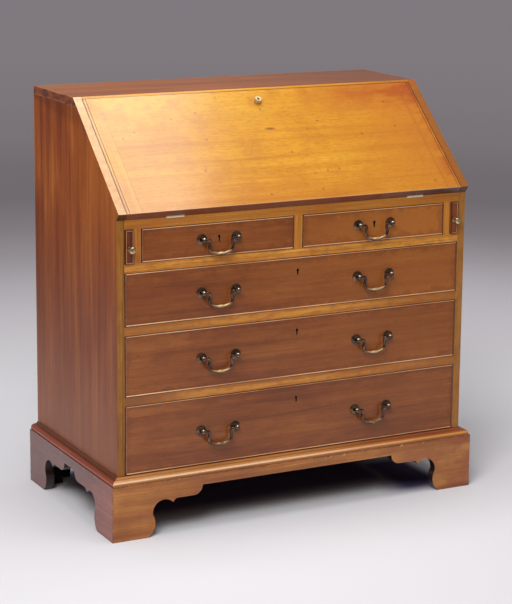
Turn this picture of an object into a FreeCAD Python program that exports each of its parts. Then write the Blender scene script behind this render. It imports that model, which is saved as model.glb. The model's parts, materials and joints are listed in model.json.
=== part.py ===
import FreeCAD, Part
import Sketcher
import os
import re

# Slant-front writing bureau: a carcass on bracket feet with two short and three long drawers, a
# sloping fall that opens onto two lopers to make a desk, and swan-neck handles.
# X runs across the front, Y from front to back and Z up from the floor.

# Driving sizes in millimetres. Names that end in share are shares of another size, and the one
# that ends in angle is in degrees.
SIZES = {
    # Carcass boards
    "carcass_width": 940,
    "carcass_depth": 505,
    "side_thickness": 20,
    "side_skirt": 24,
    "top_thickness": 20,
    "bottom_thickness": 18,
    "back_thickness": 10,
    "back_rebate": 9,
    "plank_gap": 0.4,
    "cut_over": 4,
    # Rows of drawers, from the floor up
    "plinth_height": 134,
    "lower_row": 166,
    "middle_row": 146,
    "upper_row": 126,
    "top_row": 80,
    "divider_thickness": 21,
    "divider_depth": 75,
    "runner_width": 24,
    "dustboard_thickness": 8,
    # Top row, across
    "loper_bay": 24,
    "partition_thickness": 18,
    "centre_thickness": 22,
    # Slope and fall
    "slope_run": 251,
    "slope_rise": 252.6,
    "fall_thickness": 22,
    "fall_side_gap": 1,
    "fall_foot_gap": 0.5,
    "lip_thickness": 8,
    "lip_land": 6,
    "lip_gap": 0.5,
    "shoulder_gap": 1,
    "clamp_width": 39,
    "edge_bead": 7,
    "edge_groove_width": 1.2,
    "edge_groove_depth": 0.8,
    # Fall hinges
    "hinge_place": 323,
    "hinge_width": 45,
    "knuckle_radius": 3,
    "knuckle_share": 0.5,
    "hinge_gap": 0.3,
    "hinge_pin_radius": 1.5,
    "pin_gap": 0.05,
    "leaf_length": 28,
    "leaf_thickness": 2,
    # Fall lock
    "barrel_drop": 37,
    "barrel_radius": 6,
    "barrel_head_radius": 9.5,
    "barrel_head_length": 10,
    "barrel_rim": 1.5,
    "fall_lock_width": 70,
    "fall_lock_height": 46,
    "fall_lock_depth": 12,
    # Lopers
    "loper_side_gap": 1.5,
    "slide_gap": 0.3,
    "loper_length": 400,
    "loper_proud": 4,
    "loper_border": 3,
    "loper_sink": 2.5,
    "knob_radius": 8.5,
    "knob_length": 12,
    "knob_neck_radius": 4,
    "knob_reach": 22.5,
    "knob_base_radius": 6.5,
    "knob_base_thickness": 2.5,
    "knob_height_share": 0.44,
    # Drawers
    "drawer_gap": 0.8,
    "front_thickness": 20,
    "bead_thickness": 3,
    "bead_proud": 1.8,
    "bead_step": 0.5,
    "drawer_back_gap": 25,
    "lining_thickness": 9,
    "lining_drop": 12,
    "drawer_bottom_thickness": 7,
    "drawer_bottom_lift": 5.5,
    "stop_height": 4,
    "stop_depth": 25,
    "stop_width": 45,
    # Drawer locks
    "keyhole_radius": 3.2,
    "keyhole_slot": 3.6,
    "keyhole_length": 15,
    "keyhole_drop": 36,
    "lock_width": 56,
    "lock_above": 22,
    "lock_below": 24,
    "lock_depth": 11,
    # Handles
    "handle_spacing": 90,
    "handle_stand": 12,
    "short_handle_share": 0.53,
    "long_handle_share": 0.5,
    "post_head_radius": 6.5,
    "post_neck_radius": 4,
    "shank_radius": 2.5,
    "shank_gap": 0.2,
    "rosette_radius": 13,
    "rosette_thickness": 4,
    "rosette_edge": 1.2,
    "rosette_dome_share": 0.625,
    "rosette_boss_radius": 6,
    "nut_radius": 6,
    "nut_thickness": 4,
    "bail_radius": 3.4,
    "bail_middle_radius": 4.8,
    "bail_middle_half": 14,
    "bail_middle_share": 0.5,
    "bail_neck_half": 28,
    "bail_neck_radius": 5.5,
    "bail_arm_radius": 22,
    "bail_flare_angle": 22,
    "bail_corner_radius": 13,
    "bail_bow_radius": 60,
    "bail_pin_past": 4,
    # Base
    "base_projection": 22,
    "moulding_projection": 19,
    "moulding_height": 17,
    "apron_depth": 24,
    "bracket_length": 232,
    "block_width": 42,
    "glue_block_width": 60,
    "glue_block_depth": 24,
    "glue_block_place": 250,
    "rear_bracket_thickness": 18,
    "rear_bracket_length": 150,
    "rear_bracket_foot": 80,
    "rear_bracket_shoulder": 45,
    # Pigeonholes
    "rack_setback": 285,
    "rack_board": 8,
    "rack_shelf_height": 78,
}

# Places worked out from the sizes: levels, faces and the line of the slope.
PLACES = {
    "half_width": "carcass_width / 2",
    "inner_half": "half_width - side_thickness",
    "front": "(loper_proud - loper_sink + knob_reach - carcass_depth) / 2",
    "back": "front + carcass_depth",
    "inner_back": "back - back_thickness",
    "side_foot": "plinth_height - side_skirt",
    "apron_height": "plinth_height - apron_depth",
    "lower_floor": "plinth_height + bottom_thickness",
    "lower_top": "lower_floor + lower_row",
    "middle_floor": "lower_top + divider_thickness",
    "middle_top": "middle_floor + middle_row",
    "upper_floor": "middle_top + divider_thickness",
    "upper_top": "upper_floor + upper_row",
    "row_floor": "upper_top + divider_thickness",
    "row_top": "row_floor + top_row",
    "writing": "row_top + fall_thickness + slide_gap",
    "top_face": "writing + slope_rise",
    "top_under": "top_face - top_thickness",
    "slope_reach": "sqrt(slope_run ^ 2 + slope_rise ^ 2)",
    "slope": "atan(slope_rise / slope_run) - asin(fall_thickness / slope_reach)",
    "slope_length": "sqrt(slope_reach ^ 2 - fall_thickness ^ 2)",
    "under_rise": "slope_rise - top_thickness",
    "slope_under": "(under_rise - fall_thickness * cos(slope)) / sin(slope)",
    "lip_under": "fall_thickness - lip_thickness",
    "rebate_floor": "lip_under - lip_gap",
    "lip_end": "slope_length - lip_land - lip_gap",
    "shoulder": "(under_rise - rebate_floor * cos(slope)) / sin(slope) - shoulder_gap",
    "fall_half": "inner_half - fall_side_gap",
    "panel_half": "fall_half - clamp_width",
    "barrel_place": "lip_end - barrel_drop",
    "hinge_half": "hinge_width / 2",
    "knuckle_half": "hinge_half * knuckle_share",
    "rail_back": "front + divider_depth",
    "bay_half": "inner_half - loper_bay",
    "short_half": "bay_half - partition_thickness",
    "centre_half": "centre_thickness / 2",
    "short_middle": "(short_half + centre_half) / 2",
    "wide_runner": "loper_bay + partition_thickness + runner_width",
    "front_back": "front + front_thickness",
    "drawer_end": "inner_back - drawer_back_gap",
    "post_half": "handle_spacing / 2",
    "neck_flare": "bail_neck_half + bail_arm_radius * (1 - cos(bail_flare_angle * 1 deg))",
    "neck_drop": "bail_neck_radius + bail_arm_radius * sin(bail_flare_angle * 1 deg)",
    "corner_place": "neck_flare - bail_corner_radius * cos(bail_flare_angle * 1 deg)",
    "corner_drop": "neck_drop + bail_corner_radius * sin(bail_flare_angle * 1 deg)",
    "bow_inside": "bail_bow_radius - bail_corner_radius",
    "bow_rise": "sqrt(bow_inside ^ 2 - corner_place ^ 2)",
    "bow_end": "corner_place * bail_bow_radius / bow_inside",
    "bow_end_drop": "corner_drop + bow_rise * bail_corner_radius / bow_inside",
    "bail_drop": "corner_drop - bow_rise + bail_bow_radius",
    "base_half": "half_width + base_projection",
    "base_front": "front - base_projection",
    "rack_front": "front + rack_setback",
    "rack_floor": "writing + rack_board",
    "shelf_under": "writing + rack_shelf_height",
    "shelf_top": "shelf_under + rack_board",
}

# Outline of one bracket foot as shares of the bracket's length and the apron's height, from the
# floor up to the apron. A point with four shares starts an arc through its second pair.
BRACKET_SHARES = (
    (0.392, 0.0, 0.470, 0.282),
    (0.444, 0.491, 0.573, 0.800),
    (0.668, 0.709, 0.692, 0.768),
    (0.737, 0.791),
    (0.901, 0.791, 0.971, 0.852),
    (1.0, 1.0),
)

# Section of the base moulding as shares of its projection and height: a fillet, an ovolo, a
# second fillet and a small hollow under the carcass.
MOULDING_SHARES = (
    (0.0, 0.0),
    (1.0, 0.0),
    (1.0, 0.2, 0.86, 0.58),
    (0.48, 0.76),
    (0.38, 0.76, 0.20, 0.84),
    (0.12, 1.0),
    (0.0, 1.0),
)

PLANK_COUNT = 5
RACK_HOLES = 8
RACK_DRAWER_SPACES = 4

doc = FreeCAD.newDocument("slant_front_bureau")
WORD = re.compile(r"[a-z][a-z_]+")
NODES = []


def sheet_words(words, own_sheet=None):
    """Point each size name in a sum at the sheet that holds it."""
    def lookup(match):
        word = match[0]
        for sheet_name, rows in (("size", SIZES), ("place", PLACES)):
            if word in rows and sheet_name != own_sheet:
                return f"{sheet_name}.{word}"
        return word
    return WORD.sub(lookup, words)


def fill_sheet(name, rows):
    """A table with one named cell for each size."""
    sheet = doc.addObject("Spreadsheet::Sheet", name)
    for number, (alias, content) in enumerate(rows.items(), start=1):
        sheet.set(f"A{number}", alias.replace("_", " "))
        sheet.set(f"B{number}", str(content))
        sheet.setAlias(f"B{number}", alias)
    return sheet


size_sheet = fill_sheet("size", SIZES)
place_rows = {alias: f"={sheet_words(words, 'place')}" for alias, words in PLACES.items()}
place_sheet = fill_sheet("place", place_rows)
doc.recompute()


def value(words):
    """The number that a sum of size names gives."""
    return float(size_sheet.evalExpression(sheet_words(words)))


def bind(part, prop, words):
    """Tie a property of a piece to a sum of size names."""
    part.setExpression(prop, sheet_words(words))


def board(x, y, z, name="board"):
    """A square board; x, y and z are its low and high faces."""
    box = doc.addObject("Part::Box", name)
    for side, axis, (low, high) in zip(("Length", "Width", "Height"), "xyz", (x, y, z)):
        bind(box, side, f"({high}) - ({low})")
        bind(box, f"Placement.Base.{axis}", low)
    return box


def rod(axis, radius, span, cross, name="rod"):
    """A round bar along one axis; cross places it on the other two axes."""
    bar = doc.addObject("Part::Cylinder", name)
    low, high = span
    along = FreeCAD.Vector(*(float(axis == letter) for letter in "xyz"))
    bar.Placement.Rotation = FreeCAD.Rotation(FreeCAD.Vector(0, 0, 1), along)
    bind(bar, "Radius", radius)
    bind(bar, "Height", f"({high}) - ({low})")
    bind(bar, f"Placement.Base.{axis}", low)
    for letter, words in zip("xyz".replace(axis, ""), cross):
        bind(bar, f"Placement.Base.{letter}", words)
    return bar


def arc_through(start, middle, end):
    """An arc for a sketch, and whether it runs from start to end."""
    circle = Part.Arc(start, middle, end).toShape().Curve
    forward = (middle - start).cross(end - middle).z > 0
    first, last = (start, end) if forward else (end, start)
    full = Part.Circle(circle.Center, FreeCAD.Vector(0, 0, 1), circle.Radius)
    return Part.ArcOfCircle(full, full.parameter(first), full.parameter(last)), forward


def outline(body, plane, corners, closed=True):
    """A sketch on an origin plane of the body, with every corner tied to its size names."""
    sketch = body.newObject("Sketcher::SketchObject", "outline")
    sketch.AttachmentSupport = (
        next(feature for feature in body.Origin.OriginFeatures if feature.Role == plane), "")
    sketch.MapMode = "FlatFace"
    points = [[FreeCAD.Vector(value(corner[i]), value(corner[i + 1]), 0)
               for i in range(0, len(corner), 2)] for corner in corners]
    rules = []
    words = []

    def pin(piece, end, point, names):
        for kind, distance, name in zip(("DistanceX", "DistanceY"), (point.x, point.y), names):
            words.append((len(rules), name))
            rules.append(Sketcher.Constraint(kind, -1, 1, piece, end, distance))

    count = len(corners) if closed else len(corners) - 1
    ends = []
    for number in range(count):
        start, *through = points[number]
        end = points[(number + 1) % len(points)][0]
        if through:
            arc, forward = arc_through(start, through[0], end)
            piece = sketch.addGeometry(arc)
            mark = sketch.addGeometry(Part.Point(through[0]), True)
            pin(mark, 1, through[0], corners[number][2:])
            rules.append(Sketcher.Constraint("PointOnObject", mark, 1, piece))
        else:
            piece = sketch.addGeometry(Part.LineSegment(start, end))
            forward = True
        ends.append((piece, 1, 2) if forward else (piece, 2, 1))
    for number, (piece, first, last) in enumerate(ends):
        pin(piece, first, points[number][0], corners[number])
        if closed or number + 1 < count:
            neighbour, neighbour_first, _ = ends[(number + 1) % count]
            rules.append(Sketcher.Constraint("Coincident", piece, last, neighbour, neighbour_first))
        else:
            pin(piece, last, points[-1][0], corners[-1])
    sketch.addConstraint(rules)
    for number, name in words:
        bind(sketch, f"Constraints[{number}]", name)
    return sketch


def padded(plane, corners, span, name="padded"):
    """A board of any outline, drawn on an origin plane and padded between two faces."""
    body = doc.addObject("PartDesign::Body", name)
    sketch = outline(body, plane, corners)
    pad = body.newObject("PartDesign::Pad", "pad")
    pad.Profile = sketch
    low, high = span
    bind(pad, "Length", f"({high}) - ({low})")
    axis, start = {"YZ_Plane": ("x", low), "XZ_Plane": ("y", high), "XY_Plane": ("z", low)}[plane]
    bind(body, f"Placement.Base.{axis}", start)
    return body


def turned(plane, axis, corners, name="turned"):
    """A turned piece: an outline on an origin plane spun about one of the sketch's axes."""
    body = doc.addObject("PartDesign::Body", name)
    sketch = outline(body, plane, corners)
    spin = body.newObject("PartDesign::Revolution", "spin")
    spin.Profile = sketch
    spin.ReferenceAxis = (sketch, [axis])
    spin.Angle = 360
    return body


def joined(kind, base, *tools):
    """Cut, fuse or common of a piece with one tool after another."""
    for tool in tools:
        result = doc.addObject(f"Part::{kind}", kind.lower())
        result.Base = base
        result.Tool = tool
        base = result
    return base


def mirrored(source):
    """The same piece on the other side of the bureau."""
    mirror = doc.addObject("Part::Mirroring", "mirrored")
    mirror.Source = source
    mirror.Normal = FreeCAD.Vector(1, 0, 0)
    return mirror


def both(source):
    """A piece and its mirror image."""
    return [source, mirrored(source)]


def group(pieces, name="group", at=()):
    """Pieces kept together as separate solids, moved to a place."""
    pieces_group = doc.addObject("Part::Compound", name)
    pieces_group.Links = pieces
    for axis, words in zip("xyz", at):
        bind(pieces_group, f"Placement.Base.{axis}", words)
    return pieces_group


def tilted(pieces, name="tilted"):
    """Pieces of the fall, made lying flat, turned up into the line of the slope about its hinge."""
    fall = group(pieces, name, ("0", "front", "writing"))
    fall.Placement.Rotation = FreeCAD.Rotation(FreeCAD.Vector(1, 0, 0), value("slope"))
    bind(fall, "Placement.Rotation.Angle", "slope")
    return fall


def node(name, pieces, shape=group):
    """A named sub-part of the bureau."""
    part = shape(pieces, name)
    part.Label = name
    NODES.append(part)


def on_slope(along, out):
    """A point on the side view, given along the slope from the hinge and square out from it."""
    return (f"front + ({along}) * cos(slope) - ({out}) * sin(slope)",
            f"writing + ({along}) * sin(slope) + ({out}) * cos(slope)")


# Side boards: the sloping edge stands level with the closed fall, with a small beak at its foot.
side_outline = [
    ("front", "side_foot"),
    ("front", "writing"),
    on_slope("0", "fall_thickness"),
    on_slope("slope_under", "fall_thickness"),
    ("back", "top_under"),
    ("back", "side_foot"),
]
side_blank = padded("YZ_Plane", side_outline, ("-half_width", "-inner_half"), "side_blank")
side_rebate = board(("-inner_half - back_rebate", "-inner_half + cut_over"),
                    ("inner_back", "back + cut_over"),
                    ("plinth_height", "top_under + cut_over"), "side_rebate")
left_side = joined("Cut", side_blank, side_rebate)
node("left_side", [left_side])
node("right_side", [mirrored(left_side)])

# Top board: bevelled to the slope in front, with a rebate between the sides for the fall's lip.
top_outline = [
    on_slope("slope_under", "fall_thickness"),
    ("front + slope_run", "top_face"),
    ("back", "top_face"),
    ("back", "top_under"),
]
top_blank = padded("YZ_Plane", top_outline, ("-half_width", "half_width"), "top_blank")
lip_rebate = tilted([board(("-inner_half", "inner_half"),
                           ("slope_under - cut_over", "slope_length - lip_land"),
                           ("rebate_floor", "fall_thickness + cut_over"))], "lip_rebate")
node("top_board", [joined("Cut", top_blank, lip_rebate)])

# Back planks, nailed into the rebates of the sides.
plank_pitch = f"(2 * (inner_half + back_rebate) / {PLANK_COUNT})"
planks = []
for number in range(PLANK_COUNT):
    edge = f"-inner_half - back_rebate + {number} * {plank_pitch}"
    planks.append(board((f"{edge} + plank_gap / 2", f"{edge} + {plank_pitch} - plank_gap / 2"),
                        ("inner_back", "back"), ("plinth_height", "top_under"), "plank"))
node("back_boards", planks)

# Horizontal boards between the sides: carcass bottom, drawer dividers and writing bed.
across = ("-inner_half", "inner_half")
node("carcass_bottom", [board(across, ("front", "inner_back"), ("plinth_height", "lower_floor"))])
LEVELS = (("lower_top", "middle_floor"), ("middle_top", "upper_floor"), ("upper_top", "row_floor"))
node("drawer_dividers", [board(across, ("front", "rail_back"), level, "divider") for level in LEVELS])

# Hinges between bed and fall: the knuckles turn about the front top edge of the bed.
hinge_axis = ("front", "writing")
leaf_across = ("hinge_place - hinge_half", "hinge_place + hinge_half")
middle_across = ("hinge_place - knuckle_half", "hinge_place + knuckle_half")
inner_across = (leaf_across[0], middle_across[0])
outer_across = (middle_across[1], leaf_across[1])
fall_knuckle_across = (f"{middle_across[0]} + hinge_gap", f"{middle_across[1]} - hinge_gap")
socket_across = (f"{leaf_across[0]} - hinge_gap", f"{leaf_across[1]} + hinge_gap")
socket_radius = "knuckle_radius + hinge_gap"
bore_radius = "hinge_pin_radius + pin_gap"
bore_across = (f"{leaf_across[0]} - cut_over", f"{leaf_across[1]} + cut_over")

bed_leaf_place = (leaf_across, ("front", "front + leaf_length"), ("writing - leaf_thickness", "writing"))
bed_leaf = joined("Fuse", board(*bed_leaf_place),
                  rod("x", "knuckle_radius", inner_across, hinge_axis),
                  rod("x", "knuckle_radius", outer_across, hinge_axis))
bed_leaf = joined("Cut", bed_leaf, rod("x", socket_radius, middle_across, hinge_axis),
                  rod("x", bore_radius, bore_across, hinge_axis))
bed_leaf_sinking = board(leaf_across, ("front - cut_over", "front + leaf_length"),
                         ("writing - leaf_thickness", "writing + cut_over"))
bed_sinkings = both(bed_leaf_sinking) + both(rod("x", socket_radius, socket_across, hinge_axis))
bed = board(across, ("front", "inner_back"), ("row_top", "writing"))
node("writing_bed", [joined("Cut", bed, *bed_sinkings)])
node("bed_hinge_leaves", both(bed_leaf))
node("hinge_pins", both(rod("x", "hinge_pin_radius", leaf_across, hinge_axis)))

# Partitions of the top row, and the runners and dustboards behind the dividers.
row_height = ("row_floor", "row_top")
loper_partition = board(("short_half", "bay_half"), ("front", "inner_back"), row_height)
centre_partition = board(("-centre_half", "centre_half"), ("front", "inner_back"), row_height)
node("bay_partitions", both(loper_partition) + [centre_partition])

behind_rail = ("rail_back", "inner_back")
runners = []
dustboards = []
for number, (under, floor) in enumerate(LEVELS):
    in_top_row = number == len(LEVELS) - 1
    inner_edge = f"inner_half - {'wide_runner' if in_top_row else 'runner_width'}"
    dust_level = (f"({under} + {floor} - dustboard_thickness) / 2",
                  f"({under} + {floor} + dustboard_thickness) / 2")
    runners += both(board((inner_edge, "inner_half"), behind_rail, (under, floor), "runner"))
    if in_top_row:
        middle_edge = "centre_half + runner_width"
        runners.append(board((f"-({middle_edge})", middle_edge), behind_rail, (under, floor), "runner"))
        dustboards += both(board((middle_edge, inner_edge), behind_rail, dust_level, "dustboard"))
    else:
        dustboards.append(board((f"-({inner_edge})", inner_edge), behind_rail, dust_level, "dustboard"))
node("drawer_runners", runners)
node("dustboards", dustboards)

# Pigeonhole rack: a base board, a shelf and thin uprights, clear behind the closed fall.
rack_deep = ("rack_front", "inner_back")
rack = [board(across, rack_deep, ("writing", "rack_floor"), "rack_base"),
        board(across, rack_deep, ("shelf_under", "shelf_top"), "rack_shelf")]
for holes, level in ((RACK_DRAWER_SPACES, ("rack_floor", "shelf_under")),
                     (RACK_HOLES, ("shelf_top", "top_under"))):
    for number in range(1, holes):
        middle = f"inner_half * {2 * number - holes} / {holes}"
        rack.append(board((f"{middle} - rack_board / 2", f"{middle} + rack_board / 2"),
                          rack_deep, level, "upright"))
node("pigeonholes", rack)


def mitre_plan(corners):
    """A tall prism on a floor plan that trims a base piece to its mitres."""
    return padded("XY_Plane", corners, ("-cut_over", "lower_floor + cut_over"), "mitre_plan")


# Base: mitred plinth boards with bracket feet, and a moulding above them against the carcass.
front_plan = [("-half_width", "front"), ("-base_half", "base_front"),
              ("base_half", "base_front"), ("half_width", "front")]
left_plan = [("-half_width", "front"), ("-base_half", "base_front"),
             ("-base_half", "back"), ("-half_width", "back")]


def moulding_section(place):
    """The moulding's section; place gives the point at some distance out from the carcass."""
    section = []
    for shares in MOULDING_SHARES:
        corner = ()
        for out_share, up_share in zip(shares[::2], shares[1::2]):
            corner += (place(f"{out_share} * moulding_projection"),
                       f"plinth_height + {up_share} * moulding_height")
        section.append(corner)
    return section


front_section = moulding_section(lambda out: f"front - {out}")
side_section = moulding_section(lambda out: f"-half_width - {out}")
front_moulding = joined("Common", padded("YZ_Plane", front_section, ("-base_half", "base_half")),
                        mitre_plan(front_plan))
left_moulding = joined("Common", padded("XZ_Plane", side_section, ("base_front", "back")),
                       mitre_plan(left_plan))
node("base_moulding", [front_moulding] + both(left_moulding))


def plinth_outline(start, end):
    """A plinth board from end to end, with a bracket foot cut at each end."""
    near = []
    far = []
    for number, shares in enumerate(BRACKET_SHARES):
        near_corner = ()
        for along_share, up_share in zip(shares[::2], shares[1::2]):
            near_corner += (f"{start} + {along_share} * bracket_length", f"{up_share} * apron_height")
        near.append(near_corner)
        along_share, up_share = shares[:2]
        far_corner = (f"{end} - {along_share} * bracket_length", f"{up_share} * apron_height")
        if number and len(BRACKET_SHARES[number - 1]) > 2:
            through_along_share, through_up_share = BRACKET_SHARES[number - 1][2:]
            far_corner += (f"{end} - {through_along_share} * bracket_length",
                           f"{through_up_share} * apron_height")
        far.insert(0, far_corner)
    return ([(start, "0")] + near + far
            + [(end, "0"), (end, "plinth_height"), (start, "plinth_height")])


front_board = padded("XZ_Plane", plinth_outline("-base_half", "base_half"), ("base_front", "front"))
left_board = padded("YZ_Plane", plinth_outline("base_front", "back"), ("-base_half", "-half_width"))
node("plinth_front", [joined("Common", front_board, mitre_plan(front_plan))])
node("plinth_sides", both(joined("Common", left_board, mitre_plan(left_plan))))

# Behind the plinth: corner blocks in the feet, glue blocks under the bottom and rear brackets.
block_across = ("-half_width", "-half_width + block_width")
bracket_front = "back - rear_bracket_thickness"
front_block = board(block_across, ("front", "front + block_width"), ("0", "side_foot"), "front_block")
rear_block = board(block_across, (f"{bracket_front} - block_width", bracket_front),
                   ("0", "side_foot"), "rear_block")
rear_outline = [
    ("-half_width", "0"),
    ("-half_width + rear_bracket_foot", "0"),
    ("-half_width + rear_bracket_foot", "rear_bracket_shoulder"),
    ("-half_width + rear_bracket_length", "side_foot"),
    ("-half_width", "side_foot"),
]
rear_bracket = padded("XZ_Plane", rear_outline, (bracket_front, "back"), "rear_bracket")
glue_blocks = [board((f"{middle} - glue_block_width / 2", f"{middle} + glue_block_width / 2"),
                     ("front", "front + glue_block_depth"),
                     ("plinth_height - glue_block_depth", "plinth_height"), "glue_block")
               for middle in ("-glue_block_place", "0", "glue_block_place")]
node("foot_blocks", both(front_block) + both(rear_block) + both(rear_bracket) + glue_blocks)

# The fall, made lying flat: X across, Y up from the hinge and Z out through its thickness.
fall_section = [
    ("fall_foot_gap", "0"),
    ("fall_foot_gap", "fall_thickness"),
    ("lip_end", "fall_thickness"),
    ("lip_end", "lip_under"),
    ("shoulder", "lip_under"),
    ("shoulder", "0"),
]
fall_blank = padded("YZ_Plane", fall_section, ("-fall_half", "fall_half"), "fall_blank")
groove = board(("fall_half - edge_bead - edge_groove_width", "fall_half - edge_bead"),
               ("0", "lip_end + cut_over"),
               ("fall_thickness - edge_groove_depth", "fall_thickness + cut_over"), "edge_groove")
fall_knuckle_socket = rod("x", socket_radius, socket_across, ("0", "0"))
fall_leaf_sinking = board(leaf_across, ("0", "leaf_length"), ("-cut_over", "leaf_thickness"))
lock_across = ("-fall_lock_width / 2", "fall_lock_width / 2")
lock_up = ("shoulder - fall_lock_height", "shoulder")
lock_sinking = board(lock_across, (lock_up[0], "shoulder + cut_over"), ("-cut_over", "fall_lock_depth"))
barrel_hole = rod("z", "barrel_radius + shank_gap", ("0", "fall_thickness + cut_over"),
                  ("0", "barrel_place"))
fall_blank = joined("Cut", fall_blank, *both(groove), *both(fall_knuckle_socket),
                    *both(fall_leaf_sinking), lock_sinking, barrel_hole)
mitre_foot = "lip_end - clamp_width"
panel_plan = padded("XY_Plane", [
    ("-panel_half", "-cut_over"),
    ("panel_half", "-cut_over"),
    ("panel_half", mitre_foot),
    ("fall_half + cut_over", "lip_end + cut_over"),
    ("-fall_half - cut_over", "lip_end + cut_over"),
    ("-panel_half", mitre_foot),
], ("-cut_over", "fall_thickness + cut_over"), "panel_plan")
node("fall_panel", [joined("Common", fall_blank, panel_plan)], tilted)
node("fall_clamps", [joined("Cut", fall_blank, panel_plan)], tilted)

fall_leaf = joined("Fuse", board(leaf_across, ("0", "leaf_length"), ("0", "leaf_thickness")),
                   rod("x", "knuckle_radius", fall_knuckle_across, ("0", "0")))
fall_leaf = joined("Cut", fall_leaf,
                   rod("x", socket_radius, (socket_across[0], middle_across[0]), ("0", "0")),
                   rod("x", socket_radius, (middle_across[1], socket_across[1]), ("0", "0")),
                   rod("x", bore_radius, bore_across, ("0", "0")))
node("fall_hinge_leaves", both(fall_leaf), tilted)

# Lock of the fall: a case let into the inner face and a turned brass barrel through to the front.
lock_case = board(lock_across, lock_up, ("0", "fall_lock_depth"), "lock_case")
barrel_end = "fall_thickness + barrel_head_length"
barrel = turned("XZ_Plane", "V_Axis", [
    ("0", "fall_lock_depth"),
    ("barrel_radius", "fall_lock_depth"),
    ("barrel_radius", "fall_thickness"),
    ("barrel_head_radius", "fall_thickness"),
    ("barrel_head_radius", f"{barrel_end} - barrel_rim"),
    ("barrel_head_radius - barrel_rim", barrel_end),
    ("0", barrel_end),
], "barrel")
barrel = group([barrel], "barrel_placed", ("0", "barrel_place", "0"))
key_deep = ("fall_thickness", f"{barrel_end} + cut_over")
barrel = joined("Cut", barrel, rod("z", "keyhole_radius", key_deep, ("0", "barrel_place")),
                board(("-keyhole_slot / 2", "keyhole_slot / 2"),
                      ("barrel_place - barrel_radius", "barrel_place"), key_deep))
node("fall_lock", [lock_case], tilted)
node("fall_lock_barrel", [barrel], tilted)

# Lopers: square bearers that fill their bays, with a sunk panel inside a border on the front end.
loper_across = ("bay_half + loper_side_gap", "inner_half - loper_side_gap")
loper_height = ("row_floor + slide_gap", "row_top - slide_gap")
loper_face = "front - loper_proud"
loper_blank = board(loper_across, (loper_face, "front + loper_length"), loper_height, "loper_blank")
loper_panel = board((f"{loper_across[0]} + loper_border", f"{loper_across[1]} - loper_border"),
                    (f"{loper_face} - cut_over", f"{loper_face} + loper_sink"),
                    (f"{loper_height[0]} + loper_border", f"{loper_height[1]} - loper_border"))
loper = joined("Cut", loper_blank, loper_panel)
node("left_loper", [mirrored(loper)])
node("right_loper", [loper])

knob = turned("XY_Plane", "V_Axis", [
    ("0", "0"),
    ("knob_base_radius", "0"),
    ("knob_base_radius", "-knob_base_thickness"),
    ("knob_neck_radius", "-knob_base_thickness"),
    ("knob_neck_radius", "knob_length - knob_reach", "knob_radius", "knob_length / 2 - knob_reach"),
    ("0", "-knob_reach"),
], "knob")
knob_at = ("(bay_half + inner_half) / 2", f"{loper_face} + loper_sink",
           "row_floor + knob_height_share * top_row")
knob = group([knob], "knob_placed", knob_at)
node("left_loper_knob", [mirrored(knob)])
node("right_loper_knob", [knob])

# Handle fittings, made about the middle of one post on the face of a drawer front: a cast post
# with its shank, a domed rosette under it and a nut behind the front.
head_start = "-handle_stand + sqrt(post_head_radius ^ 2 - post_neck_radius ^ 2)"
post = turned("XY_Plane", "V_Axis", [
    ("0", "front_thickness + nut_thickness"),
    ("shank_radius", "front_thickness + nut_thickness"),
    ("shank_radius", "-rosette_thickness"),
    ("post_neck_radius", "-rosette_thickness"),
    ("post_neck_radius", head_start, "post_head_radius", "-handle_stand"),
    ("0", "-handle_stand - post_head_radius"),
], "post")
bail_bore = rod("x", "bail_radius + pin_gap", ("-rosette_radius", "rosette_radius"),
                ("-handle_stand", "0"))
post = joined("Cut", post, bail_bore)
rosette_dome = ("(rosette_radius + rosette_boss_radius) / 2",
                "-(rosette_edge + rosette_thickness) * rosette_dome_share")
rosette = turned("XY_Plane", "V_Axis", [
    ("shank_radius + shank_gap", "0"),
    ("rosette_radius", "0"),
    ("rosette_radius", "-rosette_edge", *rosette_dome),
    ("rosette_boss_radius", "-rosette_thickness"),
    ("shank_radius + shank_gap", "-rosette_thickness"),
], "rosette")
nut = turned("XY_Plane", "V_Axis", [
    ("shank_radius + shank_gap", "front_thickness"),
    ("nut_radius", "front_thickness"),
    ("nut_radius", "front_thickness + nut_thickness"),
    ("shank_radius + shank_gap", "front_thickness + nut_thickness"),
], "nut")
fitting = group([post, rosette, nut], "handle_fitting")

# Swan-neck bail, made about the middle of its pivot line: a round wire that leaves each post
# inwards, turns down, flares out and runs round into a bow, which swells in the middle.
flare = "bail_flare_angle * 1 deg"
bend = f"({flare} - 90 deg + atan(corner_place / bow_rise)) / 2"
right_half = [
    ("post_half + bail_pin_past", "0"),
    ("bail_neck_half + bail_neck_radius", "0",
     "bail_neck_half + bail_neck_radius * (1 - cos(45 deg))", "-bail_neck_radius * (1 - sin(45 deg))"),
    ("bail_neck_half", "-bail_neck_radius",
     f"bail_neck_half + bail_arm_radius * (1 - cos({flare} / 2))",
     f"-bail_neck_radius - bail_arm_radius * sin({flare} / 2)"),
    ("neck_flare", "-neck_drop",
     f"corner_place + bail_corner_radius * cos({bend})",
     f"-corner_drop + bail_corner_radius * sin({bend})"),
    ("bow_end", "-bow_end_drop", "0", "-bail_drop"),
]
left_half = []
for number, corner in enumerate(right_half):
    through = right_half[number - 1][2:] if number else ()
    left_half.insert(0, tuple(f"-({words})" if place == 0 else words
                              for pair in (corner[:2], through)
                              for place, words in enumerate(pair)))
bail_body = doc.addObject("PartDesign::Body", "bail_wire")
wire_path = outline(bail_body, "XZ_Plane", right_half + left_half, closed=False)
wire_section = bail_body.newObject("Sketcher::SketchObject", "wire_section")
wire_section.AttachmentSupport = (
    next(feature for feature in bail_body.Origin.OriginFeatures if feature.Role == "YZ_Plane"), "")
wire_section.MapMode = "FlatFace"
bind(wire_section, "AttachmentOffset.Base.z", "post_half + bail_pin_past")
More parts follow.
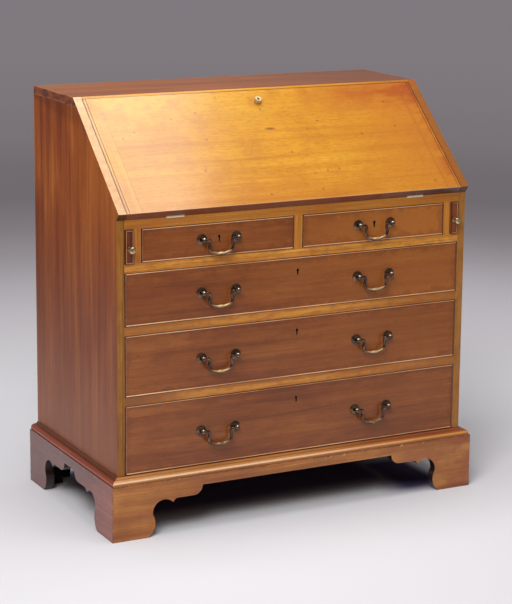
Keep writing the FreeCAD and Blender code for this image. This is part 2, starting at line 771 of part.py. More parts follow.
wire_circle = wire_section.addGeometry(
    Part.Circle(FreeCAD.Vector(0, 0, 0), FreeCAD.Vector(0, 0, 1), value("bail_radius")))
wire_section.addConstraint(Sketcher.Constraint("Coincident", wire_circle, 3, -1, 1))
wire_size = wire_section.addConstraint(Sketcher.Constraint("Radius", wire_circle, value("bail_radius")))
bind(wire_section, f"Constraints[{wire_size}]", "bail_radius")
wire = bail_body.newObject("PartDesign::AdditivePipe", "wire")
wire.Profile = wire_section
wire.Spine = wire_path
swelling = turned("XY_Plane", "H_Axis", [
    ("-bail_middle_half", "0"),
    ("bail_middle_half", "0"),
    ("bail_middle_half", "bail_middle_share * bail_radius", "0", "bail_middle_radius"),
    ("-bail_middle_half", "bail_middle_share * bail_radius"),
], "bail_swelling")
swelling = group([swelling], "bail_swelling_placed", ("0", "0", "-bail_drop"))
bail = joined("Fuse", bail_body, swelling)


def keyhole(middle, level, span):
    """Cutting tools for a keyhole: a round eye with a slot below it."""
    return [rod("y", "keyhole_radius", span, (middle, f"{level} + keyhole_length / 2 - keyhole_radius")),
            board((f"{middle} - keyhole_slot / 2", f"{middle} + keyhole_slot / 2"), span,
                  (f"{level} - keyhole_length / 2", f"{level} + keyhole_length / 2 - keyhole_radius"))]


def bead_section(low, high):
    """Section of a cock bead: as deep as the front, with a rounded nose standing proud."""
    return [("front - bead_step", low), ("front_back", low), ("front_back", high),
            ("front - bead_step", high, "front - bead_proud", f"({low} + {high}) / 2")]


def swap(corners):
    """The same section with its two axes exchanged."""
    return [tuple(words for pair in zip(corner[1::2], corner[::2]) for words in pair)
            for corner in corners]


def drawer(name, left, right, floor, top, handles, handle_share, key_level):
    """One drawer: front, cock beads, lining, lock and handle fittings."""
    low_x, high_x = f"({left} + drawer_gap)", f"({right} - drawer_gap)"
    low_z, high_z = f"({floor} + drawer_gap)", f"({top} - drawer_gap)"
    face_x = (f"({low_x} + bead_thickness)", f"({high_x} - bead_thickness)")
    face_z = (f"({low_z} + bead_thickness)", f"({high_z} - bead_thickness)")
    handle_level = f"{floor} + {handle_share} * ({top} - {floor})"
    middle = f"({left} + {right}) / 2"

    through = ("front - cut_over", "front_back + cut_over")
    posts = [f"{place} {sign} post_half" for place in handles for sign in "-+"]
    holes = [rod("y", "shank_radius + shank_gap", through, (post_x, handle_level)) for post_x in posts]
    holes += keyhole(middle, key_level, through)
    face = board(face_x, ("front", "front_back"), face_z, f"{name}_face")
    node(f"{name}_front", [joined("Cut", face, *holes)])

    node(f"{name}_cock_bead", [
        padded("YZ_Plane", bead_section(low_z, face_z[0]), (low_x, high_x), "bead"),
        padded("YZ_Plane", bead_section(face_z[1], high_z), (low_x, high_x), "bead"),
        padded("XY_Plane", swap(bead_section(low_x, face_x[0])), face_z, "bead"),
        padded("XY_Plane", swap(bead_section(face_x[1], high_x)), face_z, "bead"),
    ])

    side_z = (f"{floor} + slide_gap", f"{top} - lining_drop")
    inside_x = (f"{low_x} + lining_thickness", f"{high_x} - lining_thickness")
    bottom_z = (f"{floor} + drawer_bottom_lift", f"{floor} + drawer_bottom_lift + drawer_bottom_thickness")
    deep = ("front_back", "drawer_end")
    node(f"{name}_lining", [
        board((low_x, inside_x[0]), deep, side_z, "lining_side"),
        board((inside_x[1], high_x), deep, side_z, "lining_side"),
        board(inside_x, deep, bottom_z, "lining_bottom"),
        board(inside_x, ("drawer_end - lining_thickness", "drawer_end"), (bottom_z[1], side_z[1]),
              "lining_back"),
    ])

    node(f"{name}_lock", [board((f"{middle} - lock_width / 2", f"{middle} + lock_width / 2"),
                                ("front_back", "front_back + lock_depth"),
                                (f"{key_level} - lock_below", f"{key_level} + lock_above"))])
    node(f"{name}_handle_posts", [group([fitting], "fitting", (post_x, "front", handle_level))
                                  for post_x in posts])
    for place, side in zip(handles, ("left", "right")):
        bail_name = f"{name}_bail" if len(handles) == 1 else f"{name}_{side}_bail"
        node(bail_name, [group([bail], "bail", (place, "front - handle_stand", handle_level))])


def drawer_stops(floor, places):
    """Small blocks on the divider that the back of a drawer front meets."""
    return [board((f"{middle} - stop_width / 2", f"{middle} + stop_width / 2"),
                  ("front_back + slide_gap", "front_back + slide_gap + stop_depth"),
                  (floor, f"{floor} + stop_height"), "stop") for middle in places]


pair = ("-short_middle", "short_middle")
short_key = "row_floor + short_handle_share * top_row"
drawer("top_left_drawer", "-short_half", "-centre_half", "row_floor", "row_top",
       pair[:1], "short_handle_share", short_key)
drawer("top_right_drawer", "centre_half", "short_half", "row_floor", "row_top",
       pair[1:], "short_handle_share", short_key)
for row in ("upper", "middle", "lower"):
    drawer(f"{row}_drawer", *across, f"{row}_floor", f"{row}_top",
           pair, "long_handle_share", f"{row}_top - keyhole_drop")
node("drawer_stops", [stop for floor in ("row_floor", "upper_floor", "middle_floor", "lower_floor")
                      for stop in drawer_stops(floor, pair)])

doc.recompute()
failed = [part.Name for part in doc.Objects if {"Invalid", "Error"} & set(part.State)]
failed += [part.Label for part in NODES if part.Shape.isNull() or not part.Shape.isValid()]
if failed:
    raise RuntimeError("these pieces failed: " + ", ".join(failed))

os.makedirs("parts", exist_ok=True)
for part in NODES:
    part.Shape.exportStep(f"parts/{part.Label}.step")
print(len(NODES), "nodes,", sum(len(part.Shape.Solids) for part in NODES), "solids")
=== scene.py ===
import json
import math

import bpy
from mathutils import Euler, Matrix, Vector


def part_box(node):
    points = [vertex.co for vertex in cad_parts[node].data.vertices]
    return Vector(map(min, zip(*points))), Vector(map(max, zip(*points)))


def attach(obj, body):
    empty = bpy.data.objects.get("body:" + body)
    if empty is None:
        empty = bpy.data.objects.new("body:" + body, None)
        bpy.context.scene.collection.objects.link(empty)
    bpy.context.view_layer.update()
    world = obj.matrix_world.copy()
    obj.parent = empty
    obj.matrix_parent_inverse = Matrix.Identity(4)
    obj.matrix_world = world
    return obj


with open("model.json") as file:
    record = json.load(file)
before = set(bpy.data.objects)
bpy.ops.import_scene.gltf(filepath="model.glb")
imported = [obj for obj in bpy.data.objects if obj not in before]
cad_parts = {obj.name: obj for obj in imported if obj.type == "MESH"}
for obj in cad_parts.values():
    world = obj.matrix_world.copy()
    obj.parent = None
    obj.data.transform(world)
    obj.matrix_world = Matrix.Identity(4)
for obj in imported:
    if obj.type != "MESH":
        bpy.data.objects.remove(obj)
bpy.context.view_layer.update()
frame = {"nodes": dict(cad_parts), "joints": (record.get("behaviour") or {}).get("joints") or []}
nodes = frame["nodes"]


# Side boards. Each is one wide mahogany board with upright grain, planed and waxed, lighter towards the
# upper front, with painted shade lower down, a painted reflection of the floor near its foot and a
# darker band under the top edge. The front edge shows the golden wood of the rails, with painted shade
# under its nose, and the sloping edge is rubbed pale.

def paint(red, green, blue):
    """A colour as it shows on screen, each part from 0 to 255, in the linear numbers of a shader."""
    shares = (red / 255, green / 255, blue / 255)
    linear = (share / 12.92 if share < 0.04 else ((share + 0.055) / 1.055) ** 2.4 for share in shares)
    return (*linear, 1)


def feed(tree, node, feeds):
    """Feed the inputs of a shader node by name or number, with plain values or other outputs."""
    for key, given in feeds.items():
        if isinstance(given, bpy.types.NodeSocket):
            tree.links.new(given, node.inputs[key])
        else:
            node.inputs[key].default_value = given


def add(tree, kind, feeds=None, **settings):
    """A shader node with its settings and what feeds its inputs."""
    made = tree.nodes.new(kind)
    for name, setting in settings.items():
        setattr(made, name, setting)
    feed(tree, made, feeds or {})
    return made


def calc(tree, operation, *terms):
    """A sum on numbers."""
    return add(tree, "ShaderNodeMath", dict(enumerate(terms)), operation=operation).outputs[0]


def both(tree, first, *others):
    """Masks multiplied with each other."""
    for other in others:
        first = calc(tree, "MULTIPLY", first, other)
    return first


def stretch(tree, place, scale):
    """A place with each axis stretched by its own number."""
    return add(tree, "ShaderNodeVectorMath", {0: place, 1: scale}, operation="MULTIPLY").outputs[0]


def fade(tree, amount, start, end):
    """0 at start, 1 at end and smooth between them."""
    return add(tree, "ShaderNodeMapRange", {0: amount, 1: start, 2: end},
               interpolation_type="SMOOTHSTEP").outputs[0]


def mix(tree, share, first, second):
    """Two colours mixed by a share of the second."""
    return add(tree, "ShaderNodeMix", {0: share, 6: first, 7: second}, data_type="RGBA").outputs[2]


def tinge(tree, colour, tone, *masks):
    """A colour with a tone laid over it, as far as all the masks and shares allow."""
    return mix(tree, both(tree, *masks), colour, tone)


def object_place(tree):
    """The place on the object, in metres."""
    return add(tree, "ShaderNodeTexCoord").outputs["Object"]


def place_and_facing(tree):
    """The place on the object, in metres, and the way that its surface faces there."""
    coords = add(tree, "ShaderNodeTexCoord").outputs
    return coords["Object"], coords["Normal"]


def noise(tree, place, scale, detail=2.0, roughness=0.5):
    """Soft random levels about a half."""
    return add(tree, "ShaderNodeTexNoise", {"Vector": place, "Scale": scale, "Detail": detail,
                                            "Roughness": roughness}).outputs["Fac"]


def blotches(tree, place, scale, detail, start, end):
    """Soft random blotches, stretched by a scale, between two levels of noise."""
    return fade(tree, noise(tree, stretch(tree, place, scale), 1.0, detail), start, end)


def split(tree, place):
    """The x, y and z of a place."""
    return add(tree, "ShaderNodeSeparateXYZ", {0: place}).outputs


def shades(tree, level, colours):
    """Colours in even steps along a level from 0 to 1."""
    made = add(tree, "ShaderNodeValToRGB", {0: level})
    elements = made.color_ramp.elements
    while len(elements) < len(colours):
        elements.new(1)
    for number, colour in enumerate(colours):
        elements[number].position = number / (len(colours) - 1)
        elements[number].color = colour
    return made.outputs[0]


def shader_group(name, inputs, outputs):
    """An empty shader group with named sockets, its input sockets and its output node."""
    tree = bpy.data.node_groups.new(name, "ShaderNodeTree")
    for socket, kind in inputs.items():
        tree.interface.new_socket(socket, in_out="INPUT", socket_type=f"NodeSocket{kind}")
    for socket in outputs:
        tree.interface.new_socket(socket, in_out="OUTPUT", socket_type="NodeSocketFloat")
    return tree, add(tree, "NodeGroupInput").outputs, add(tree, "NodeGroupOutput").inputs


# Grain along the first axis: broad stripes, soft patches, fine lines and short open pores.
SWAY_SCALE = (1.6, 6, 6)
STRIPE_ALONG = 1.3
PATCH_SCALE = (3, 8, 8)
LINE_SCALE = (8, 460, 460)
PORE_SCALE = (110, 2200, 2200)
STRIPE_SHARE = 0.45
LINE_SHARE = 0.25
PATCH_SHARE = 0.3
TONE_LEVELS = (0.36, 0.64)
PORE_LEVELS = (0.62, 0.74)

grain_group, given, wanted = shader_group(
    "mahogany_grain", {"Place": "Vector", "Stripe": "Float", "Wander": "Float"}, ("Tone", "Pores"))
sway = add(grain_group, "ShaderNodeTexNoise",
           {"Vector": stretch(grain_group, given["Place"], SWAY_SCALE), "Scale": 1.0, "Detail": 2.0})
sway = add(grain_group, "ShaderNodeVectorMath", {0: sway.outputs["Color"], 1: (0.5, 0.5, 0.5)},
           operation="SUBTRACT")
sway = add(grain_group, "ShaderNodeVectorMath", {0: sway.outputs[0], "Scale": given["Wander"]},
           operation="SCALE")
swayed = add(grain_group, "ShaderNodeVectorMath", {0: given["Place"], 1: sway.outputs[0]}).outputs[0]
across = calc(grain_group, "DIVIDE", 1.0, given["Stripe"])
stripe_scale = add(grain_group, "ShaderNodeCombineXYZ",
                   {0: STRIPE_ALONG, 1: across, 2: across}).outputs[0]
stripes = noise(grain_group, stretch(grain_group, swayed, stripe_scale), 1.0, 4.0, 0.62)
patches = noise(grain_group, stretch(grain_group, given["Place"], PATCH_SCALE), 1.0, 2.0)
lines = noise(grain_group, stretch(grain_group, swayed, LINE_SCALE), 1.0, 2.0, 0.6)
tone = calc(grain_group, "MULTIPLY", stripes, STRIPE_SHARE)
tone = calc(grain_group, "MULTIPLY_ADD", lines, LINE_SHARE, tone)
tone = calc(grain_group, "MULTIPLY_ADD", patches, PATCH_SHARE, tone)
grain_group.links.new(fade(grain_group, tone, *TONE_LEVELS), wanted["Tone"])
pores = noise(grain_group, stretch(grain_group, swayed, PORE_SCALE), 1.0, 0.0)
grain_group.links.new(fade(grain_group, pores, *PORE_LEVELS), wanted["Pores"])

# Mask of the arrises of a board, for wear, grime and painted highlights: the second smallest distance
# to its faces is the way to an edge.
WEAR_SCALE = 40.0
LEAST_WEAR = 0.05
MOST_WEAR = 2.0

edge_group, given, wanted = shader_group(
    "board_edge", {"Place": "Vector", "Low": "Vector", "High": "Vector", "Width": "Float"}, ("Edge",))
low_side = add(edge_group, "ShaderNodeVectorMath", {0: given["Place"], 1: given["Low"]},
               operation="SUBTRACT")
high_side = add(edge_group, "ShaderNodeVectorMath", {0: given["High"], 1: given["Place"]},
                operation="SUBTRACT")
nearest = add(edge_group, "ShaderNodeVectorMath", {0: low_side.outputs[0], 1: high_side.outputs[0]},
              operation="MINIMUM")
gap_x, gap_y, gap_z = split(edge_group, nearest.outputs[0])
lesser = calc(edge_group, "MINIMUM", gap_x, gap_y)
greater = calc(edge_group, "MAXIMUM", gap_x, gap_y)
to_edge = calc(edge_group, "MAXIMUM", lesser, calc(edge_group, "MINIMUM", greater, gap_z))
uneven = fade(edge_group, noise(edge_group, given["Place"], WEAR_SCALE, 4.0), 0.3, 0.7)
wear = calc(edge_group, "MULTIPLY_ADD", uneven, MOST_WEAR, LEAST_WEAR)
worn_width = calc(edge_group, "MULTIPLY", given["Width"], wear)
from_edge = calc(edge_group, "DIVIDE", to_edge, worn_width)
edge_group.links.new(fade(edge_group, from_edge, 1.0, 0.3), wanted["Edge"])


def new_material(name):
    """A material with its node tree and its surface shader."""
    material = bpy.data.materials.new(name)
    material.use_nodes = True
    return material, material.node_tree, material.node_tree.nodes["Principled BSDF"]


GRAIN_AXES = {"x": (0, 1, 2), "y": (1, 0, 2), "z": (2, 1, 0)}


def grain(tree, place, along, colours, stripe, wander=0.012):
    """Grained wood colours along an axis, and the mask of the pores."""
    axes = split(tree, place)
    turned = add(tree, "ShaderNodeCombineXYZ",
                 {number: axes[axis] for number, axis in enumerate(GRAIN_AXES[along])})
    figure = add(tree, "ShaderNodeGroup",
                 {"Place": turned.outputs[0], "Stripe": stripe, "Wander": wander}, node_tree=grain_group)
    return shades(tree, figure.outputs["Tone"], colours), figure.outputs["Pores"]


def board_edge(tree, place, node, width):
    """Mask of the arrises of a board, for wear, grime and painted highlights."""
    low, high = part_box(node)
    return add(tree, "ShaderNodeGroup", {"Place": place, "Low": low, "High": high, "Width": width},
               node_tree=edge_group).outputs["Edge"]


PORE = paint(44, 20, 8)
PORE_SHADE = 0.3
PORE_DEPTH = 0.0001
COAT_ROUGHNESS = 0.2


def polish(tree, surface, colour, pores, roughness, coat, sheen=0.2):
    """Waxed wood: a dull grain under a thin gloss, with the pores sunk in it."""
    place = object_place(tree)
    handled = calc(tree, "MULTIPLY_ADD", noise(tree, place, 9.0, 3.0), 0.2, roughness - 0.1)
    wax_and_painted_highlight = calc(tree, "MULTIPLY_ADD", noise(tree, place, 5.0, 4.0), coat * 0.5, coat * 0.75)
    bump = add(tree, "ShaderNodeBump", {"Height": pores, "Strength": 0.4, "Distance": PORE_DEPTH},
               invert=True)
    feed(tree, surface, {"Base Color": tinge(tree, colour, PORE, pores, PORE_SHADE),
                         "Roughness": calc(tree, "MULTIPLY_ADD", pores, 0.15, handled),
                         "Coat Weight": calc(tree, "MULTIPLY_ADD", pores, -0.3 * coat, wax_and_painted_highlight),
                         "Coat Roughness": COAT_ROUGHNESS, "Specular IOR Level": sheen,
                         "Normal": bump.outputs[0]})


def dress(material, *names):
    """Give solids of the bureau their finish."""
    for name in names:
        for slot in nodes[name].material_slots:
            slot.material = material


SIDE_TONES = (paint(116, 48, 14), paint(146, 70, 22), paint(163, 84, 28), paint(192, 114, 44))
STILE_TONES = (paint(126, 80, 32), paint(160, 104, 44), paint(176, 118, 52), paint(194, 136, 66))
SLOPE_TONES = (paint(200, 144, 96), paint(212, 162, 112), paint(220, 170, 120), paint(228, 182, 134))
RIGHT_SLOPE = paint(164, 90, 30)
RIGHT_EDGE = paint(140, 76, 14)
RIGHT_STILE = paint(184, 126, 66)
UPPER_FRONT_TONE = paint(186, 106, 34)
SHADED = paint(108, 48, 16)
PAINTED_FLOOR_REFLECTION = paint(160, 104, 76)
DARK_BROWN = paint(84, 34, 14)
UNDERSIDE_SHADE = paint(56, 30, 24)
WEAR_AND_HIGHLIGHT = paint(224, 176, 120)
SIDE_STRIPE = 0.026
SLOPE_STRIPE = 0.012
BOARD_WANDER = 0.02
UPPER_FRONT_REACH = (0.1, -0.24)
UPPER_FRONT_RISE = (0.4, 0.8)
SHADE_FALL = (0.85, 0.5)
FLOOR_REFLECTION_FALL = (0.45, 0.18)
RIGHT_END = (0.3, 0.45)
MOTTLE_UPRIGHT = (70, 70, 28)
TOP_BAND_SLANT = 0.16
TOP_BAND_START = 0.006
TOP_BAND_WAVER = 0.012


def sloping_wood(tree, place, x):
    """The pale wood of the sloping edges, golden brown on the right."""
    wood, _ = grain(tree, place, "z", SLOPE_TONES, SLOPE_STRIPE)
    return tinge(tree, wood, RIGHT_EDGE, fade(tree, x, *RIGHT_END), 0.9)


side_wood, tree, surface = new_material("side_mahogany")
place, facing = place_and_facing(tree)
x, y, z = split(tree, place)
facing_x, facing_y, facing_z = split(tree, facing)
face = calc(tree, "MAXIMUM", fade(tree, calc(tree, "ABSOLUTE", facing_x), 0.4, 0.6),
            fade(tree, facing_y, 0.3, 0.5))
colour, pores = grain(tree, place, "z", SIDE_TONES, SIDE_STRIPE, BOARD_WANDER)
# Lighter towards the upper front of the board.
colour = tinge(tree, colour, UPPER_FRONT_TONE, fade(tree, y, *UPPER_FRONT_REACH), fade(tree, z, *UPPER_FRONT_RISE), 0.4)
# Painted shade lower down the board, and a painted reflection of the pale floor near its foot.
colour = tinge(tree, colour, SHADED, fade(tree, z, *SHADE_FALL), 0.5)
colour = tinge(tree, colour, PAINTED_FLOOR_REFLECTION, fade(tree, z, *FLOOR_REFLECTION_FALL), 0.4)
edge_wood, _ = grain(tree, place, "z", STILE_TONES, SLOPE_STRIPE)
edge_wood = tinge(tree, edge_wood, RIGHT_STILE, fade(tree, x, *RIGHT_END), 0.5)
mottle = blotches(tree, place, MOTTLE_UPRIGHT, 3.0, 0.42, 0.68)
edge_wood = tinge(tree, edge_wood, STILE_TONES[0], mottle, 0.35)
edge_wood = mix(tree, fade(tree, facing_z, 0.3, 0.5), edge_wood, sloping_wood(tree, place, x))
# Painted shade on the faces of the nose that turn downwards.
edge_wood = tinge(tree, edge_wood, UNDERSIDE_SHADE, fade(tree, facing_z, -0.2, -0.4), 0.8)
colour = mix(tree, face, edge_wood, colour)
# A darker band under the top edge, deeper towards the back.
side_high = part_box("left_side")[1]
below_top = calc(tree, "SUBTRACT", side_high.z, z)
towards_front = calc(tree, "SUBTRACT", side_high.y, y)
top_band_depth = calc(tree, "MULTIPLY_ADD", towards_front, TOP_BAND_SLANT, TOP_BAND_START)
top_band_depth = calc(tree, "MULTIPLY_ADD", noise(tree, place, 14.0, 3.0), TOP_BAND_WAVER, top_band_depth)
top_band = fade(tree, calc(tree, "DIVIDE", below_top, top_band_depth), 1.1, 0.5)
colour = tinge(tree, colour, DARK_BROWN, top_band, face, 0.35)
polish(tree, surface, colour, pores, 0.45, coat=0.4, sheen=0.05)
dress(side_wood, "left_side", "right_side")


# Top board. A mahogany board with its grain across, lapped over the sides. The front is bevelled to
# the slope and as golden as the fall below it, and the end grain has drunk the stain and is dark.

TOP_TONES = (paint(126, 64, 24), paint(144, 76, 29), paint(152, 82, 33), paint(166, 96, 42))
FALL_TONES = (paint(186, 118, 22), paint(202, 136, 26), paint(208, 144, 29), paint(218, 158, 42))
END_TONES = (paint(84, 36, 14), paint(118, 54, 20), paint(140, 68, 26), paint(152, 78, 32))
TOP_STRIPE = 0.03
BEVEL_STRIPE = 0.02
SIDE_JOINT = 0.001
BEVEL_SHADE = (0.0, 0.45)
TOP_SHADE = (-0.2, 0.45)
END_SCALE = (30, 30, 70)
TOP_ARRIS = 0.0012

top_wood, tree, surface = new_material("top_mahogany")
place, facing = place_and_facing(tree)
facing_x, facing_y, _ = split(tree, facing)
colour, pores = grain(tree, place, "x", TOP_TONES, TOP_STRIPE, BOARD_WANDER)
bevel, _ = grain(tree, place, "x", FALL_TONES, BEVEL_STRIPE)
x = split(tree, place)[0]
over_side = fade(tree, calc(tree, "ABSOLUTE", x), -side_high.x, SIDE_JOINT - side_high.x)
bevel = mix(tree, over_side, bevel, sloping_wood(tree, place, x))
bevel = tinge(tree, bevel, RIGHT_SLOPE, fade(tree, x, *BEVEL_SHADE), 0.7)
colour = tinge(tree, colour, TOP_TONES[0], fade(tree, x, *TOP_SHADE), 0.9)
colour = mix(tree, fade(tree, facing_y, -0.1, -0.3), colour, bevel)
end_grain = shades(tree, blotches(tree, place, END_SCALE, 4.0, 0.3, 0.7), END_TONES)
colour = mix(tree, fade(tree, calc(tree, "ABSOLUTE", facing_x), 0.5, 0.7), colour, end_grain)
# Pale arrises: partly wear and partly a painted highlight.
colour = tinge(tree, colour, WEAR_AND_HIGHLIGHT, board_edge(tree, place, "top_board", TOP_ARRIS), 0.4)
polish(tree, surface, colour, pores, 0.42, coat=0.5)
dress(top_wood, "top_board")


# Carcass bottom, back planks and the blocks behind the plinth. Plain softwood from the saw, stained dark
# and never polished, nailed or rubbed in with glue where nobody looks. Faces that do not face the back,
# below the back planks, are painted near black as shade.

PINE_TONES = (paint(78, 52, 30), paint(104, 72, 42), paint(120, 86, 52), paint(138, 104, 66))
DUST = paint(150, 138, 120)
INNER_SHADE = paint(26, 18, 16)
PINE_STRIPE = 0.016
SAW_SCALE = (3, 3, 420)
PLANK_COUNT = 5
JOINT_LEVELS = (0.012, 0.004)
INNER_SHADE_EDGE = 0.004

back_low, back_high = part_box("back_boards")
plank_width = (back_high.x - back_low.x) / PLANK_COUNT

back_wood, tree, surface = new_material("stained_and_shaded_softwood")
place, facing = place_and_facing(tree)
colour, pores = grain(tree, place, "z", PINE_TONES, PINE_STRIPE, BOARD_WANDER)
colour = tinge(tree, colour, PINE_TONES[0], noise(tree, stretch(tree, place, SAW_SCALE), 1.0, 1.0), 0.25)
across = calc(tree, "DIVIDE", calc(tree, "SUBTRACT", split(tree, place)[0], back_low.x), plank_width)
plank_shade = add(tree, "ShaderNodeTexWhiteNoise", {"W": calc(tree, "FLOOR", across)},
                  noise_dimensions="1D").outputs["Value"]
colour = tinge(tree, colour, PINE_TONES[3], plank_shade, 0.5)
colour = tinge(tree, colour, PORE, fade(tree, calc(tree, "PINGPONG", across, 0.5), *JOINT_LEVELS), 0.8)
colour = tinge(tree, colour, DUST, fade(tree, noise(tree, place, 5.0, 4.0), 0.45, 0.7), 0.3)
# Painted shade: faces that do not face the back, below the back planks, are made near black.
inward = fade(tree, split(tree, facing)[1], 0.3, 0.1)
below = fade(tree, split(tree, place)[2], back_low.z, back_low.z - INNER_SHADE_EDGE)
colour = tinge(tree, colour, INNER_SHADE, inward, below)
polish(tree, surface, colour, pores, 0.75, coat=0.0)
dress(back_wood, "back_boards", "carcass_bottom", "foot_blocks")


# Nails of the back. Hand-forged iron with faceted rose heads, two through each plank into the carcass
# bottom and the writing bed, and a row along each rebate of the sides.

GREY_IRON = paint(70, 66, 62)
RUST = paint(84, 54, 36)

iron, tree, surface = new_material("lock_iron")
rust = fade(tree, noise(tree, object_place(tree), 90.0, 5.0), 0.45, 0.7)
feed(tree, surface, {"Base Color": mix(tree, rust, GREY_IRON, RUST),
                     "Roughness": calc(tree, "MULTIPLY_ADD", rust, 0.35, 0.4),
                     "Metallic": calc(tree, "SUBTRACT", 1.0, rust)})

NAIL_RADIUS = 0.004
NAIL_RIM = 0.0008
NAIL_POINT = 0.0012
NAIL_TAPER = 0.3
NAIL_FACETS = 6
NAIL_SHARES = (0.22, 0.78)
REBATE_NAILS = 5
REBATE_INSET = 0.0045


def finished(pieces, name, body, material):
    """Pieces joined into one, at the origin, with a finish and a body to ride on."""
    bpy.ops.object.select_all(action="DESELECT")
    for piece in pieces:
        piece.select_set(True)
    bpy.context.view_layer.objects.active = pieces[0]
    if len(pieces) > 1:
        bpy.ops.object.join()
    whole = bpy.context.object
    whole.name = name
    bpy.ops.object.transform_apply(location=True, rotation=True, scale=True)
    bpy.ops.object.mode_set(mode="EDIT")
    bpy.ops.mesh.select_all(action="SELECT")
    bpy.ops.mesh.normals_make_consistent(inside=False)
    bpy.ops.object.mode_set(mode="OBJECT")
    whole.data.materials.clear()
    whole.data.materials.append(material)
    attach(whole, body)


bottom_low, bottom_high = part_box("carcass_bottom")
bed_low, bed_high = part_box("writing_bed")
nail_spots = [(back_low.x + (number + share) * plank_width, (low.z + high.z) / 2)
              for number in range(PLANK_COUNT) for share in NAIL_SHARES
              for low, high in ((bottom_low, bottom_high), (bed_low, bed_high))]
for number in range(REBATE_NAILS):
    nail_z = back_low.z + (number + 0.5) / REBATE_NAILS * (back_high.z - back_low.z)
    nail_spots += [(back_low.x + REBATE_INSET, nail_z), (back_high.x - REBATE_INSET, nail_z)]
nails = []
for number, (nail_x, nail_z) in enumerate(nail_spots):
    head = (nail_x, back_high.y, nail_z)
    bpy.ops.object.select_all(action="DESELECT")
    bpy.ops.mesh.primitive_circle_add(vertices=NAIL_FACETS, radius=NAIL_RADIUS, fill_type="NGON",
                                      location=head, rotation=(-math.pi / 2, number, 0))
    nails.append(bpy.context.object)
    bpy.ops.object.mode_set(mode="EDIT")
    bpy.ops.mesh.select_all(action="SELECT")
    bpy.ops.mesh.extrude_region_move(TRANSFORM_OT_translate={"value": (0, NAIL_RIM, 0)})
    bpy.ops.mesh.extrude_region_move(TRANSFORM_OT_translate={"value": (0, NAIL_POINT, 0)})
    bpy.ops.transform.resize(value=(NAIL_TAPER, 1, NAIL_TAPER), center_override=head)
    bpy.ops.object.mode_set(mode="OBJECT")
finished(nails, "back_nails", "carcass", iron)


# Drawer dividers, the edge of the writing bed and the partitions of the top row. Golden mahogany
# lipping, housed into the sides and kept brighter than the drawers by rubbing.

RAIL_TONES = (paint(162, 92, 31), paint(200, 126, 42), paint(218, 146, 52), paint(240, 174, 74))
RAIL_SHADE = paint(130, 70, 28)
RAIL_STRIPE = 0.014
PARTITION_STRIPE = 0.01
RAIL_MOTTLE = (35, 70, 70)
RAIL_ENDS = (0.08, 0.42)
LOWEST_RAIL = (0.04, 0.1)
RAIL_LEFT = (-0.28, -0.43)

rail_wood, tree, surface = new_material("golden_rail_mahogany")
place = object_place(tree)
colour, pores = grain(tree, place, "x", RAIL_TONES, RAIL_STRIPE)
colour = tinge(tree, colour, RAIL_TONES[0], blotches(tree, place, RAIL_MOTTLE, 3.0, 0.4, 0.7), 0.5)
x, _, z = split(tree, place)
upper_low, upper_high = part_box("upper_drawer_front")
lower_rails = fade(tree, z, upper_high.z, upper_low.z)
rail_ends = fade(tree, calc(tree, "ABSOLUTE", x), *RAIL_ENDS)
colour = tinge(tree, colour, RAIL_TONES[0], rail_ends, lower_rails, 0.8)
lowest_rail = fade(tree, z, *(upper_low.z - drop for drop in LOWEST_RAIL))
colour = tinge(tree, colour, RAIL_SHADE, fade(tree, x, *RAIL_LEFT), lowest_rail, 0.7)
polish(tree, surface, colour, pores, 0.4, coat=0.7)
dress(rail_wood, "drawer_dividers")

partition_wood, tree, surface = new_material("upright_rail_mahogany")
colour, pores = grain(tree, object_place(tree), "z", RAIL_TONES[:3], PARTITION_STRIPE)
polish(tree, surface, colour, pores, 0.4, coat=0.7)
dress(partition_wood, "bay_partitions")

BED_TONES = (paint(96, 46, 20), paint(120, 62, 28), paint(136, 74, 34), paint(152, 90, 44))
BED_STRIPE = 0.03

bed_wood, tree, surface = new_material("writing_bed_mahogany")
place, facing = place_and_facing(tree)
colour, pores = grain(tree, place, "x", BED_TONES, BED_STRIPE)
lipping, _ = grain(tree, place, "x", RAIL_TONES, RAIL_STRIPE)
# Painted shade from the fall's lip: the whole lipping is darkened towards the darkest rail tone.
lipping = mix(tree, 0.45, lipping, RAIL_TONES[0])
colour = mix(tree, fade(tree, split(tree, facing)[1], -0.4, -0.6), colour, lipping)
polish(tree, surface, colour, pores, 0.4, coat=0.6)
dress(bed_wood, "writing_bed")


# Runners, dustboards, drawer stops and drawer linings. Quartered oak, planed and left bare inside
# the case, rubbed shiny only where the drawers slide.

OAK_TONES = (paint(118, 84, 48), paint(150, 114, 70), paint(168, 132, 86), paint(184, 150, 102))
OAK_STRIPE = 0.01
OAK_WANDER = 0.006
FLECK_SCALE = (160, 25, 160)
DRAWERS = ("top_left_drawer", "top_right_drawer", "upper_drawer", "middle_drawer", "lower_drawer")

oak, tree, surface = new_material("bare_oak")
place = object_place(tree)
colour, pores = grain(tree, place, "y", OAK_TONES, OAK_STRIPE, OAK_WANDER)
colour = tinge(tree, colour, OAK_TONES[3], blotches(tree, place, FLECK_SCALE, 1.0, 0.62, 0.7), 0.3)
polish(tree, surface, colour, pores, 0.65, coat=0.0)
dress(oak, "drawer_runners", "dustboards", "drawer_stops", *(f"{drawer}_lining" for drawer in DRAWERS))


# Pigeonhole rack behind the fall. Thin mahogany boards, waxed once and housed into each other, and
# slid in whole before the back was nailed on.

RACK_STRIPE = 0.016

rack_wood, tree, surface = new_material("rack_mahogany")
colour, pores = grain(tree, object_place(tree), "x", BED_TONES, RACK_STRIPE)
polish(tree, surface, colour, pores, 0.5, coat=0.3)
dress(rack_wood, "pigeonholes")


